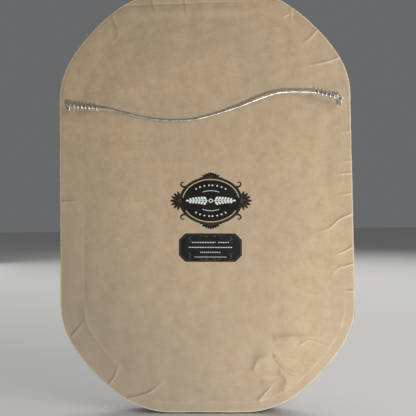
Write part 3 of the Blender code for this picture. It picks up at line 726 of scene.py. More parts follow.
def make_studio():
    """A wide pale floor, an even pale sky and soft lights. The floor casts no shadow, so the low
    lamp reaches the back from beneath it."""
    bpy.ops.mesh.primitive_plane_add(size=FLOOR_SIZE, location=(0, 0, cad_box[0].z - FLOOR_DROP))
    floor = bpy.context.active_object
    floor.name = "studio_floor"
    surface, tree, shader = new_finish("studio_paint", (0.78, 0.77, 0.75), 0.85)
    cloud = noise(tree, place_on(tree), 0.8, 2.0)
    colour_by(tree, shader, ramp(tree, cloud, ((0.3, (0.75, 0.74, 0.72)), (0.7, (0.8, 0.79, 0.77)))))
    floor.data.materials.append(surface)
    floor.visible_shadow = False
    world = bpy.data.worlds.new("studio")
    bpy.context.scene.world = world
    world.use_nodes = True
    sky = world.node_tree.nodes["Background"]
    sky.inputs["Color"].default_value = (*SKY_COLOUR, 1)
    sky.inputs["Strength"].default_value = SKY_STRENGTH
    for lamp in LAMPS:
        soft_light(*lamp)
    bpy.context.scene.view_settings.view_transform = "Standard"


# The hanging wire, its wraps and the screw eyes

STRANDS = 6
STRAND_LAY = 13.0
WIRE_POINTS = 420
WIRE_GROOVE = 0.12
WRAP_GROOVE = 0.14
LOOP_RADIUS = 1.35
LOOP_SWELL = 1.05
# A wrap's coil: its radius, its points a turn, and how far it runs past the wire's bare stretch
COIL_RADIUS = WIRE_RADIUS + WRAP_STRAND - 0.04
TURN_POINTS = 22
COIL_EXTRA = 3.4
COIL_START = 2.8
# How uneven the coil is along the wire, in two waves, and in its radius: how far, and how fast
PITCH_WAVE = 0.12
PITCH_RATE = 5.3
RIPPLE_WAVE = 0.05
RIPPLE_RATE = 13
SWELL_WAVE = 0.06
SWELL_RATE = 9
# The strand's places beside the screw eye, as steps along and across the wire from the coil's start
CORE_PAST = 0.4
CORE_STEPS = ((-0.8, -0.3), (-2.6, -0.8))
BACK_STEPS = ((-2.8, 0.9), (-1.9, 1.2))
# The cut tail's bends: how far on from the coil, and how much of the way that the tail stands off
TAIL_BENDS = ((0.9, 0.25), (1.3, 1.0))
LOOP_POINTS = 130
WINDING_POINTS = 34
# A screw eye: the stops along its shank, the degrees of its ring, its thread, its point and its cut end
SHANK_STOPS = (-EYE_DEPTH, -5.0, 0.0, 0.9)
RING_SPAN = (20, 336)
EYE_POINTS = 230
THREAD_PITCH = 0.95
THREAD_END = 0.6
THREAD_CORE = 0.93
THREAD_RISE = 0.12
# Thread and point end before these points of the path, so that the ring gets neither
THREAD_POINTS = 120
SHANK_POINTS = 60
POINT_LENGTH = 1.6
POINT_LEAST = 0.12
CUT_ROUNDING = (0.98, 0.9, 0.66)


def steel(name, tint, roughness):
    """Bright wire: fine marks that make its gloss uneven, and dull spots of grime."""
    surface, tree, shader = new_finish(name, tint, roughness, 0.8)
    where = place_on(tree)
    grime = noise(tree, where, 260, 3.0)
    marks = noise(tree, where, 700, 6.0)
    dull = tuple(0.55 * c for c in tint)
    colour_by(tree, shader, ramp(tree, grime, ((0.32, dull), (0.55, tint), (0.8, tint))))
    rough_by(tree, shader, between(tree, marks, 0.3, 0.75, roughness * 0.7, roughness * 1.5))
    raise_by(tree, shader, marks, 0.03, 0.5)
    return surface


def off_paper(points):
    """Points given as x, z and height off the paper, as x, y, z."""
    return np.array([(x, off, z) for x, z, off in points], float)


def wire_path():
    """The centreline of the hanging wire, from the right wrap to the left one."""
    route = [WRAP_RIGHT[1], *WIRE_ROUTE, WRAP_LEFT[1]]
    return spaced(smooth(off_paper(route), 40 * len(route)), WIRE_POINTS)


def make_wire(bright):
    """The wire: strands laid round one another."""
    path = wire_path()
    wire = rod_along("picture_wire", path, WIRE_RADIUS, 24, WIRE_GROOVE)
    return dressed(wire, bright, "bright_steel", "hanging_wire", angle=60), path


def wound_coil(near, along, across, length, turns, phase):
    """Points of a coil round the standing wire, a little uneven in its pitch and radius."""
    steps = int(turns * TURN_POINTS)
    coil = []
    for k in range(steps + 1):
        share = k / steps
        angle = FULL_TURN * turns * share
        wobble = PITCH_WAVE * math.sin(PITCH_RATE * share * turns + phase)
        wobble += RIPPLE_WAVE * math.sin(RIPPLE_RATE * share * turns)
        place = near + along * ((length + COIL_EXTRA) * share - COIL_START + wobble)
        swing = across * math.cos(angle) + np.cross(along, across) * math.sin(angle)
        coil.append(place + swing * (COIL_RADIUS + SWELL_WAVE * math.sin(SWELL_RATE * share * turns + 1)))
    return coil


def make_wrap(name, ring, ends, turns, tail, bright, node):
    """A wire end: bent through the screw eye's ring, then wound round the standing wire, with a cut
    tail that stands off."""
    near, far = off_paper(ends)
    along = unit(far - near)
    across = unit(np.cross((0.0, 1.0, 0.0), along))
    if across[2] < 0:
        across = -across
    outward = math.copysign(1.0, ring[0])
    hub = np.array((ring[0], EYE_OFF, ring[1] + EYE_RING))
    angles = np.linspace(-math.pi / 2, math.pi / 2, 15)
    bend = [hub + LOOP_RADIUS * np.array((outward * math.cos(a), 0, math.sin(a))) for a in angles]
    core = [far + along * CORE_PAST, (near + far) / 2]
    core += [near + along * on + across * off for on, off in CORE_STEPS]
    back = [near + along * on + across * off for on, off in BACK_STEPS]
    coil = wound_coil(near, along, across, np.linalg.norm(far - near), turns, ring[0])
    ahead = unit(coil[-1] - coil[-2])
    tail = np.array(tail, float)
    tail_line = [coil[-1] + ahead * on + tail * out for on, out in TAIL_BENDS]
    loop = smooth(core + bend + back, 150)
    winding = smooth(np.vstack([[back[1]], coil, tail_line]), 10 * (len(coil) - 1) // 3)
    winding = spaced(winding, int(turns * WINDING_POINTS))
    strands = [
        rod_along(name + "_loop", spaced(loop, LOOP_POINTS), WRAP_STRAND * LOOP_SWELL, 14, WRAP_GROOVE),
        rod_along(name + "_winding", winding, WRAP_STRAND, 12, WRAP_GROOVE),
    ]
    return dressed(joined(name, strands), bright, "bright_steel", node, angle=60)


def make_screw_eye(name, ring, lean, node, surface):
    """A screw eye: ring, neck and threaded shank, bent from one wire."""
    inward = -math.copysign(1.0, ring[0])
    shank_x = ring[0] - inward * math.tan(lean) * (EYE_OFF - EYE_NECK)
    flat = [(0.0, off) for off in SHANK_STOPS]
    for degrees in np.linspace(*RING_SPAN, 30):
        angle = math.radians(degrees)
        flat.append((EYE_RING * math.sin(angle), EYE_OFF - EYE_RING * math.cos(angle)))
    line = []
    for across, off in flat:
        leaned = inward * math.tan(lean) * max(off - EYE_NECK, 0)
        line.append((shank_x + leaned, off, ring[1] + across))
    path = spaced(smooth(line, 400), EYE_POINTS)
    depth = path[:, 1]
    order = np.arange(len(path))
    thread = EYE_WIRE * (THREAD_CORE + THREAD_RISE * np.sin(depth * FULL_TURN / THREAD_PITCH))
    radii = np.where((depth < THREAD_END) & (order < THREAD_POINTS), thread, EYE_WIRE)
    point = np.clip((depth + EYE_DEPTH) / POINT_LENGTH, POINT_LEAST, 1)
    radii = radii * np.where(order < SHANK_POINTS, point, 1)
    radii[-3:] *= CUT_ROUNDING
    eye = rod_along(name, path, radii, 16)
    return dressed(eye, surface, "bright_steel", node, angle=50)


# The papered back

SHEET_INSET = 0.4
BORDER_POINTS = 4001
SHEET_ROUND = 920
SHEET_RINGS = ((0, 1.0), (4, 0.992), (56, 0.79), (76, 0.6), (94, 0.0))
PAPER_CUT = 0.12
PAPER_THICK = 0.5
PAPER_BACK = 0.7
PAPER_BACK_SHARE = 0.9
CROWDING = 2.2
CROWDED_REACH = 4.5
KRAFT_DEEP = (0.400, 0.298, 0.186)
KRAFT_GROUND = (0.455, 0.345, 0.219)
KRAFT_LIGHT = (0.505, 0.392, 0.256)
KRAFT_PALE_FIBRE = (0.560, 0.440, 0.300)
KRAFT_DARK_FIBRE = (0.33, 0.235, 0.14)
KRAFT_GREYED = (0.39, 0.325, 0.235)
# The colour of the painted shade towards the lower left
KRAFT_SHADED = (0.31, 0.265, 0.205)
KRAFT_GLUED = (0.43, 0.31, 0.20)
# The colour of the painted shade beside the folds, also used for the trim line, and of the painted highlights
KRAFT_SHADE_AND_TRIM = (0.22, 0.15, 0.085)
KRAFT_PAINTED_HIGHLIGHT = (0.72, 0.62, 0.47)
KRAFT_CUT = (0.70, 0.60, 0.46)


def kraft():
    """Brown kraft paper: fibres, mottling, faint ribs and a paler cut edge, with painted shade that darkens
    it towards the lower left as seen facing the papered back."""
    surface, tree, shader = new_finish("kraft_paper", (0.45, 0.34, 0.21), 0.62, Specular_IOR_Level=0.5)
    where = place_on(tree)
    along = noise(tree, place_on(tree, (900, 900, 160), (0, 0.5, 0)), 1.0, 5.0, 0.6)
    crosswise = noise(tree, place_on(tree, (170, 800, 950), (0, 0.35, 0)), 1.0, 5.0, 0.6)
    mottle = noise(tree, where, 95, 5.0, 0.6)
    patches = noise(tree, where, 17, 3.0)
    fibre = product(tree, along, crosswise)
    place = axes_of(tree, where)
    shaded_corner = minus(tree, place["X"], place["Z"])
    base = ramp(tree, mottle, ((0.3, KRAFT_DEEP), (0.5, KRAFT_GROUND), (0.72, KRAFT_LIGHT)))
    base = over(
        tree, base,
        (between(tree, fibre, 0.14, 0.42, 0.0, 0.4), KRAFT_PALE_FIBRE),
        (between(tree, fibre, 0.2, 0.1, 0.0, 0.25), KRAFT_DARK_FIBRE),
        (between(tree, patches, 0.35, 0.7, 0.0, 0.35), KRAFT_GREYED),
        # Painted shade: the paper darkens towards the lower left, where x is high and z low
        (between(tree, shaded_corner, 0.04, 0.22, 0.0, 0.72), KRAFT_SHADED),
        (product(tree, tag_of(tree, "strip"), 0.18), KRAFT_GLUED),
        # The fold tag lays painted shade beside the folds and along the trim line, and the pale tag lays
        # painted highlights
        (tag_of(tree, "fold"), KRAFT_SHADE_AND_TRIM),
        (tag_of(tree, "pale"), KRAFT_PAINTED_HIGHLIGHT),
        (product(tree, tag_of(tree, "rim"), 0.6), KRAFT_CUT),
    )
    colour_by(tree, shader, base)
    relief = plus(tree, product(tree, fibre, 0.7), product(tree, mottle, 0.6))
    raise_by(tree, shader, relief, 0.1, 0.4)
    return surface


def crowded_border():
    """The sheet's border, with its points crowded where a crease lies on the way to the middle."""
    line = spaced(outline(SHEET_INSET), BORDER_POINTS)
    ways = unit(line)
    weight = np.ones(len(line))
    for _, _, crease in CREASES:
        headings = unit(spaced(crease_line(crease), 24))
        gaps = np.min(np.linalg.norm(ways[:, None, :] - headings[None], axis=2), axis=1)
        near = bell(gaps * np.linalg.norm(line, axis=1), CROWDED_REACH)
        weight = np.maximum(weight, 1 + CROWDING * near)
    steps = np.linalg.norm(np.diff(line, axis=0), axis=1) * (weight[1:] + weight[:-1]) / 2
    run = np.concatenate([[0], np.cumsum(steps)])
    where = np.linspace(0, run[-1], SHEET_ROUND + 1)
    return np.stack([np.interp(where, run, line[:, 0]), np.interp(where, run, line[:, 1])], axis=1)


def sunk(ring, depth, share=1.0):
    """A ring of places drawn in to a share of its size, at a depth behind the paper's face."""
    made = ring * (share, 1, share)
    made[:, :, 1] = -depth
    return made


def make_paper():
    """The kraft sheet: a ring grid drawn in from the outline, creased, with its edge turned down."""
    numbers, shares = np.array(SHEET_RINGS).T
    scale = np.interp(np.arange(numbers[-1] + 1), numbers, shares)
    flat = crowded_border()[None] * scale[:, None, None]
    x, z = flat[:, :, 0], flat[:, :, 1]
    height = paper_height(x.ravel(), z.ravel()).reshape(x.shape)
    places = np.stack([x, height, z], axis=2)
    border = places[:1]
    middle = sunk(np.zeros_like(border), PAPER_BACK)
    rows = np.concatenate([middle, sunk(border, PAPER_BACK, PAPER_BACK_SHARE), sunk(border, PAPER_THICK),
                           sunk(border, PAPER_CUT), places])
    x, z = rows[:, :, 0].ravel(), rows[:, :, 2].ravel()
    inside = line_distance(x, z, EDGE).reshape(rows.shape[:2])
    # dark holds the painted shade beside the folds and the trim line, and pale holds the painted highlights
    dark, pale = (mark.reshape(inside.shape) for mark in painted_light_and_trim(x, z))
    sheet = woven("kraft_dust_cover", rows, closed=True, rim=1 - eased(inside, 0.7, 1.7),
                  strip=1 - eased(inside, GLUE_BAND - GLUE_LINE_HALF, GLUE_BAND), fold=dark, pale=pale)
    return dressed(sheet, kraft(), "kraft_paper", "dust_cover", angle=60)


# Labels, laid on the paper and following it

# The sticker's rim: a fan of petals at each end, with this many on each side of its middle one, and a
# crest of petals above and below, each with its degrees and its length
FAN_PETALS = 3
FAN_STEP = 24
FAN_ROOT = 24.6
FAN_LENGTH = 8.8
FAN_SHORTER = 0.22
FAN_HALF = 0.98
CREST_PETALS = ((14, 9.4), (33, 8.3), (52, 7.4), (72, 6.9), (90, 7.0))
CREST_ROOT = 16.4
CREST_HALF = 1.2
CURL_POINTS = 21
# A curl: its root, the heading that it starts with, how far it turns, its length and its half width
RIM_CURL = ((20.4, 11.3), -4, 235, 8.6, 0.85)
# The motif's sprigs: pairs of leaves that get shorter, on a stem that sways and droops
SPRIG_PAIRS = 6
SPRIG_START = 3.2
SPRIG_STEP = 2.5
SPRIG_SWAY = 0.55
SPRIG_DROOP = 0.02
LEAF_ANGLE = 52
LEAF_LENGTH = 4.3
LEAF_SHORTER = 0.35
LEAF_HALF = 0.8
STEM_SPAN = (2.0, 18.6)
STEM_RATE = 0.2
STEM_HALF = 0.26
SPRIG_TIP = ((17.4, 0.1), 0.0, 3.0, 0.7)
# The ring between them, as radius and half width, the dots in degrees round an oval, and the arcs
MOTIF_RING = (1.35, 0.34)
DOT_PLACES = (50, 62, 74, 86)
DOT_OVAL = (18.6, 12.6)
DOT_LENGTH = 1.5
DOT_HALF = 0.62
MOTIF_ARC = (12.6, 8.2, 31, 58, 90)
MOTIF_ARC_HALF = 0.2
# The sticker's rings, as half sizes and half width, and its fine line, as two arcs with gaps at the sides
RIM_OVALS = ((25.4, 19.1, 0.12), (24.1, 18.1, 0.1))
LINE_ARCS = ((23.0, 17.3, 101, 9, 171), (23.0, 17.3, 81, 208, 332))
LINE_HALF = 0.34
CURL_SHADE = 0.24
PETAL_SHADE = 0.15
PETAL_SHADE_POINTS = 9
# The card's faint ornament: curls, a bud, and a border as a share of the card
CARD_CURLS = (
    ((15.4, 9.2), -30, -200, 5.4, 0.2),
    ((17.8, 7.6), -140, 190, 5.0, 0.2),
    ((6.0, 9.6), 0, -150, 4.6, 0.16),
)
CARD_BUD = ((2.0, 8.9), 0.2, 2.4, 0.28)
CARD_BORDER = (0.955, 0.9)
CARD_BORDER_HALF = 0.09
# The card's plain rules, as z and half length, and how far apart their short marks are
CARD_RULES = ((4.2, 14.6), (0.2, 17.2), (-3.8, 7.6))
MARK_STEP = 1.3
MARK_LENGTH = 1.0
MARK_HALF = 0.42
# The card's long fine rule at the foot: its half length, its z, its points and its half width
FOOT_RULE = (13, -7.6, 24, 0.16)


def turned(points, centre):
    """Label points turned a little and moved to their place on the paper."""
    c, s = math.cos(LABEL_TURN), math.sin(LABEL_TURN)
    points = np.array(points, float)
    x = points[..., 0] * c - points[..., 1] * s + centre[0]
    z = points[..., 0] * s + points[..., 1] * c + centre[1]
    return np.stack([x, z], axis=-1)


def on_paper(flat, lift):
    """Rows of x, z points laid on the paper and lifted off it, as x, y, z."""
    x, z = flat[:, :, 0], flat[:, :, 1]
    height = (paper_height(x.ravel(), z.ravel()) + LABEL_REST).reshape(x.shape) + lift
    return np.stack([x, height, z], axis=2)


def laid(name, border, rings, centre):
    """A label's sheet laid on the paper: rings drawn in from its border, with its edge turned down."""
    flat = np.linspace(0, 1, rings)[:, None, None] * border[None]
    top = on_paper(turned(flat, centre), LABEL_THICK)
    edge = top[-1:] - (0, LABEL_THICK, 0)
    bottom = edge.copy()
    bottom[:, :, 0] = top[0, 0, 0]
    bottom[:, :, 2] = top[0, 0, 2]
    return woven(name, np.concatenate([top, edge, bottom]), closed=True)


def printed(name, strokes, centre, lift, surface, thick=INK_THICK):
    """Flat ink strokes on a label. A stroke is a line and its half widths."""
    pieces = []
    for line, halves in strokes:
        line = np.array(line, float)
        ahead = unit(np.gradient(line, axis=0))
        across = np.stack([-ahead[:, 1], ahead[:, 0]], axis=1) * np.broadcast_to(halves, len(line))[:, None]
        rows = turned(np.stack([line - across, line + across]), centre)
        pieces.append(woven(name + "_stroke", on_paper(rows, lift)))
    made = thickened(joined(name, pieces), (0, 1, 0), thick)
    return dressed(made, surface, "black_print")


def label_stock(name, colour, grain_colour, roughness):
    """Printed label paper: near black, with a faint worn grain."""
    surface, tree, shader = new_finish(name, colour, roughness, Specular_IOR_Level=0.2)
    where = place_on(tree)
    grain = noise(tree, where, 620, 6.0, 0.7)
    cloud = noise(tree, where, 120, 4.0, 0.6)
    worn = product(tree, grain, cloud)
    colour_by(tree, shader, ramp(tree, worn, ((0.2, colour), (0.33, colour), (0.5, grain_colour))))
    rough_by(tree, shader, between(tree, cloud, 0.3, 0.7, roughness * 0.8, roughness * 1.2))
    raise_by(tree, shader, grain, 0.03, 0.4)
    return surface


def ink(name, colour, worn):
    """Printed ink with small breaks where it has worn."""
    surface, tree, shader = new_finish(name, colour, 0.5)
    wear = noise(tree, place_on(tree), 900, 5.0, 0.7)
    colour_by(tree, shader, ramp(tree, wear, ((0.28, worn), (0.42, colour), (1.0, colour))))
    raise_by(tree, shader, wear, 0.02, 0.3)
    return surface


def ellipse(half_x, half_y, count=121, start=0.0, end=360.0):
    """Points along an ellipse, in degrees from the right."""
    angles = np.radians(np.linspace(start, end, count))
    return np.stack([half_x * np.cos(angles), half_y * np.sin(angles)], axis=1)


def petal(root, heading, length, half, count=13):
    """A petal stroke: narrow at its root, widest past the middle, round at its tip."""
    share = np.linspace(0, 1, count)
    line = np.array(root) + towards(heading) * (share * length)[:, None]
    return line, half * (0.12 + np.sin(np.pi * share ** 1.5) ** 0.8 * 0.95) * np.where(share > 0.98, 0.3, 1)


def curl(root, start, turn, length, half):
    """A scroll stroke that winds up towards its end and thins out."""
    share = np.linspace(0, 1, CURL_POINTS)
    heading = np.radians(start + turn * share ** 1.7)
    step = length / (CURL_POINTS - 1)
    line = np.cumsum(np.stack([np.cos(heading), np.sin(heading)], axis=1) * step, axis=0) + np.array(root)
    return line, half * (1 - 0.55 * share)


def mirrored(strokes, x=True, y=False):
    """The strokes with their mirror images added."""
    made = list(strokes)
    if x:
        made += [(line * (-1, 1), halves) for line, halves in made]
    if y:
        made += [(line * (1, -1), halves) for line, halves in made]
    return made


def rim_strokes():
    """The sticker's rim: a fan of petals at each end and a crest above and below, and the curls
    between them."""
    fans = []
    for k in range(-FAN_PETALS, FAN_PETALS + 1):
        length = FAN_LENGTH - FAN_SHORTER * abs(k)
        fans.append(petal((FAN_ROOT, 0.0), math.radians(FAN_STEP * k), length, FAN_HALF))
    crest = []
    for degrees, length in CREST_PETALS:
        for heading in (degrees, 180 - degrees):
            crest.append(petal((0, CREST_ROOT), math.radians(heading), length, CREST_HALF))
    curls = mirrored([curl(*RIM_CURL)], y=True)
    return mirrored(fans) + mirrored(crest, x=False, y=True), curls


def motif_strokes():
    """The sticker's plain motif: two leafy sprigs, a ring between them, and dots and arcs round them."""
    sprig = []
    for k in range(SPRIG_PAIRS):
        place = SPRIG_START + SPRIG_STEP * k
        root = (place, SPRIG_SWAY * math.sin(STEM_RATE * SPRIG_STEP * k) - SPRIG_DROOP * place)
        for heading in (LEAF_ANGLE, -LEAF_ANGLE):
            sprig.append(petal(root, math.radians(heading), LEAF_LENGTH - LEAF_SHORTER * k, LEAF_HALF))
    stem_x = np.linspace(*STEM_SPAN, 40)
    stem_z = SPRIG_SWAY * np.sin(STEM_RATE * (stem_x - SPRIG_START)) - SPRIG_DROOP * stem_x
    sprig.append((np.stack([stem_x, stem_z], axis=1), STEM_HALF))
    sprig.append(petal(*SPRIG_TIP))
    radius, half = MOTIF_RING
    motif = mirrored(sprig) + [(ellipse(radius, radius, 33), half)]
    for degrees in DOT_PLACES:
        spot = ellipse(*DOT_OVAL, 2, degrees, degrees)[0]
        motif += mirrored([petal(spot - (DOT_LENGTH / 2, 0), 0.0, DOT_LENGTH, DOT_HALF)], y=True)
    return motif + mirrored([(ellipse(*MOTIF_ARC), MOTIF_ARC_HALF)], y=True)


def make_sticker(stock, gold, pale):
    """The oval sticker: black oval with a moulded rim, fans, crests and curls, and a plain motif."""
    sheet = laid("sticker_sheet", np.array(STICKER_HALF) * ellipse(1, 1, 181), 26, STICKER_CENTRE)
    dressed(sheet, stock, "black_print", "sticker_oval")
    petals, curls = rim_strokes()
    printed("sticker_ornament", petals + curls, STICKER_CENTRE, LABEL_THICK, stock, LABEL_THICK)
    relief = [(line, np.broadcast_to(halves, len(line)) * CURL_SHADE) for line, halves in curls]
    relief += [(line[:PETAL_SHADE_POINTS], PETAL_SHADE) for line, _ in petals]
    relief += [(ellipse(half_x, half_y), half) for half_x, half_y, half in RIM_OVALS]
    umber = ink("umber_ink", (0.062, 0.045, 0.028), (0.02, 0.016, 0.012))
    printed("sticker_shading", relief, STICKER_CENTRE, SHADING_LIFT, umber)
    arcs = [(ellipse(*arc), LINE_HALF) for arc in LINE_ARCS]
    printed("sticker_line", arcs, STICKER_CENTRE, INK_LIFT, gold)
    printed("sticker_motif", motif_strokes(), STICKER_CENTRE, INK_LIFT, pale)


def make_card(stock, gold, pale):
    """The small label under it: clipped corners, a faint ornament in each and three plain rules."""
    wide, high = CARD_HALF
    run, rise = wide - CARD_CLIP, high - CARD_CLIP
    corners = np.array([(wide, rise), (run, high), (-run, high), (-wide, rise), (-wide, -rise),
                        (-run, -high), (run, -high), (wide, -rise), (wide, rise)])
    sheet = laid("card_sheet", spaced(corners, 161), 16, CARD_CENTRE)
    dressed(sheet, stock, "black_print", "label_card")
    faint = mirrored([curl(*one) for one in CARD_CURLS] + [petal(*CARD_BUD)], y=True)
    faint.append((corners * CARD_BORDER, CARD_BORDER_HALF))
    printed("card_ornament", faint, CARD_CENTRE, INK_LIFT, gold)
    rules = []
    for z, half in CARD_RULES:
        count = int(half / MARK_STEP)
        for k in range(-count, count + 1):
            root = (k * half / count - MARK_LENGTH / 2, z)
            rules.append(petal(root, 0.0, MARK_LENGTH, MARK_HALF, 7))
    half, z, count, thin = FOOT_RULE
    rules.append((np.stack([np.linspace(-half, half, count), np.full(count, z)], axis=1), thin))
    printed("card_rules", rules, CARD_CENTRE, INK_LIFT, pale)


# The moulding, slip, glass and boards

PROFILE_STEP = 0.55
MOULDING_ARC_STEPS = 26
MOULDING_RUNS = (
    ((0.6, 0.8), (0.15, 0.95), (0.0, 1.5)),
    ((0.0, 1.5), (0.0, 10.2)),
    ((0.0, 10.2), (0.25, 10.6), (1.2, 10.8), (1.5, 11.4)),
    ((1.5, 11.4), (0.4, 13.0), (0.0, 14.8), (0.7, 16.8), (2.6, 18.0), (4.5, 17.5), (5.0, 16.6)),
    ((5.0, 16.6), (6.2, 16.7), (7.6, 17.6), (10.0, 20.0), (11.3, 22.6)),
    ((11.3, 22.6), (11.5, 23.3), (13.2, 24.6), (15.2, 24.2), (16.5, 22.6), (16.6, 22.1)),
    ((16.6, 22.1), (18.0, 21.6), (20.4, 20.2), (22.6, 18.2), (23.6, 17.5)),
    ((23.6, 17.5), (24.2, 18.0), (25.6, 18.3), (27.2, 17.5), (28.0, 15.8), (28.0, 14.6)),
    ((28.0, 14.6), (20.0, 14.6)),
    ((20.0, 14.6), (20.0, 0.8)),
    ((20.0, 0.8), (0.6, 0.8)),
)
# Where the moulding's crests are rubbed and its quirks dark, as inset and depth
CRESTS = ((0.1, 14.2), (1.6, 17.6), (13.4, 24.6), (14.6, 24.5), (25.4, 18.3))
QUIRKS = ((1.5, 11.3), (5.2, 16.5), (11.3, 22.6), (16.7, 22.0), (23.6, 17.4))
CREST_REACH = 1.1
QUIRK_REACH = 0.45
SLIP_RUNS = (
    ((20.5, 9.6), (20.5, 12.0)),
    ((20.5, 12.0), (27.4, 12.0)),
    ((27.4, 12.0), (28.4, 11.9), (29.0, 11.4)),
    ((29.0, 11.4), (29.4, 11.85), (30.1, 11.9), (30.8, 11.6), (31.3, 11.0), (31.5, 10.3)),
    ((31.5, 10.3), (31.5, 9.6)),
    ((31.5, 9.6), (20.5, 9.6)),
)
GLASS_EDGE = 20.5
DOME_FOOT = 29.0
GLASS_BACK = 12.3
GLASS_THICK = 2.0
GLASS_ARRIS = 0.25
DOME_RISE = 20.0
DOME_POWER = 2.2
DOME_RINGS = 44


def stained_wood():
    """Dark stained and waxed wood: grain along the moulding, rubbed crests, dark quirks and joints."""
    surface, tree, shader = new_finish("moulding_wood", (0.05, 0.028, 0.018), 0.32,
                                       Coat_Weight=0.25, Coat_Roughness=0.2)
    lengths = product(tree, axes_of(tree, coordinates(tree, "UV"))["X"], 4.0)
    block = working(tree, "FLOOR", plus(tree, lengths, 0.5))
    shift = add(tree, "CombineXYZ", {"X": block, "Y": product(tree, block, 7.3)}).outputs[0]
    along = add(tree, "Mapping", {"Vector": coordinates(tree, "UV"), "Location": shift,
                                  "Scale": (26, 150, 1)}).outputs["Vector"]
    grain = noise(tree, along, 1.0, 6.0, 0.62)
    finer = add(tree, "Mapping", {"Vector": along, "Scale": (3.5, 4.5, 1)}).outputs["Vector"]
    pores = noise(tree, finer, 1.0, 3.0)
    off_joint = working(tree, "ABSOLUTE", minus(tree, working(tree, "FRACT", lengths), 0.5))
    joint = between(tree, off_joint, 0.0009, 0.0003)
    uneven = between(tree, noise(tree, place_on(tree), 70, 4.0), 0.35, 0.65, 0.1, 0.6)
    base = ramp(tree, grain, ((0.3, (0.022, 0.012, 0.008)), (0.52, (0.06, 0.031, 0.018)),
                              (0.75, (0.105, 0.055, 0.03))))
    base = over(
        tree, base,
        (between(tree, pores, 0.42, 0.3), (0.012, 0.007, 0.005)),
        (product(tree, tag_of(tree, "crest"), uneven), (0.17, 0.088, 0.045)),
        (product(tree, tag_of(tree, "quirk"), 0.8), (0.008, 0.006, 0.005)),
        (joint, (0.006, 0.004, 0.003)),
    )
    colour_by(tree, shader, base)
    rough_by(tree, shader, between(tree, grain, 0.3, 0.75, 0.42, 0.26))
    relief = minus(tree, plus(tree, grain, product(tree, pores, 0.7)), joint)
    raise_by(tree, shader, relief, 0.12, 0.45)
    return surface


def near_any(points, places, reach):
    """How close points of a profile lie to any of some places: 1 there, and 0 beyond their reach."""
    gaps = np.min(np.linalg.norm(points[:, None, :] - np.array(places)[None], axis=2), axis=1)
    return bell(gaps, reach)[:, None]


def make_moulding():
    """The wooden moulding: its profile carried round the outline."""
    profile = profile_points(MOULDING_RUNS)
    piece = swept("wood_moulding", MOULDING_RUNS, MOULDING_ARC_STEPS,
                  crest=near_any(profile, CRESTS, CREST_REACH), quirk=near_any(profile, QUIRKS, QUIRK_REACH))
    return dressed(piece, stained_wood(), "moulding_wood", "frame_moulding", angle=38)


def gilding():
    """Rubbed gilt over red ground, a little cloudy, with small breaks."""
    surface, tree, shader = new_finish("rubbed_gilt", (0.72, 0.5, 0.2), 0.3, 1.0)
    where = place_on(tree)
    wear = noise(tree, where, 420, 5.0, 0.68)
    cloud = noise(tree, where, 60, 3.0)
    bare = between(tree, product(tree, wear, cloud), 0.185, 0.15)
    gold = ramp(tree, cloud, ((0.35, (0.6, 0.4, 0.15)), (0.65, (0.83, 0.6, 0.26))))
    colour_by(tree, shader, blend(tree, bare, gold, (0.2, 0.05, 0.025)))
    tree.links.new(minus(tree, 1.0, bare), shader.inputs["Metallic"])
    rough_by(tree, shader, between(tree, wear, 0.3, 0.7, 0.45, 0.24))
    raise_by(tree, shader, wear, 0.05, 0.4)
    return surface


def make_slip():
    """The gilt slip inside the moulding: a flat and a small bead."""
    piece = swept("gilt_slip", SLIP_RUNS, ARC_STEPS)
    return dressed(piece, gilding(), "gilt", "frame_slip", angle=38)


def clear_glass():
    """Clear glass that lets the lamps' light through to the inside."""
    surface, tree, shader = new_finish("clear_glass", (0.985, 1.0, 0.99), 0.015, Transmission_Weight=1.0,
                                       IOR=1.45)
    ghost = add(tree, "BsdfTransparent", {"Color": (0.96, 0.98, 0.97)})
    lit = add(tree, "LightPath").outputs["Is Shadow Ray"]
    mix = add(tree, "MixShader", {0: lit, 1: shader.outputs[0], 2: ghost.outputs[0]})
    tree.links.new(mix.outputs[0], tree.nodes["Material Output"].inputs["Surface"])
    return surface


def dome_ring(share):
    """One ring of the dome: the foot's outline, rounder and smaller towards the top."""
    foot = outline(DOME_FOOT)
    half_wide, half_high = foot[:, 0].max(), foot[:, 1].max()
    angle = np.arctan2(foot[:, 1] / half_high, foot[:, 0] / half_wide)
    oval = np.stack([half_wide * np.cos(angle), half_high * np.sin(angle)], axis=1)
    return share * (foot * share + oval * (1 - share))


def make_glass():
    """The domed glass: a flat edge in the rebate and a dome over the moth, one even thickness."""
    front = GLASS_BACK + GLASS_THICK
    insets = (27.0, 24.0, GLASS_EDGE + GLASS_ARRIS)
    shares = np.linspace(1e-4, 1, DOME_RINGS) ** 0.8
    inner = [ring_at(dome_ring(s), GLASS_BACK + DOME_RISE * (1 - s ** DOME_POWER)) for s in shares]
    outer = [ring - (0, GLASS_THICK, 0) for ring in inner]
    flat = [ring_at(outline(inset), GLASS_BACK) for inset in insets]
    rim = [ring_at(outline(GLASS_EDGE), GLASS_BACK + off) for off in (GLASS_ARRIS, GLASS_THICK - GLASS_ARRIS)]
    front_flat = [ring_at(outline(inset), front) for inset in insets[::-1]]
    rows = inner + flat + rim + front_flat + outer[::-1]
    middle = np.zeros_like(rows[0])
    back_middle = middle - (0, GLASS_BACK + DOME_RISE, 0)
    front_middle = back_middle - (0, GLASS_THICK, 0)
    piece = woven("dome_glass", np.array([back_middle] + rows + [front_middle]), closed=True)
    return dressed(piece, clear_glass(), "clear_glass", "glass_dome", angle=50)


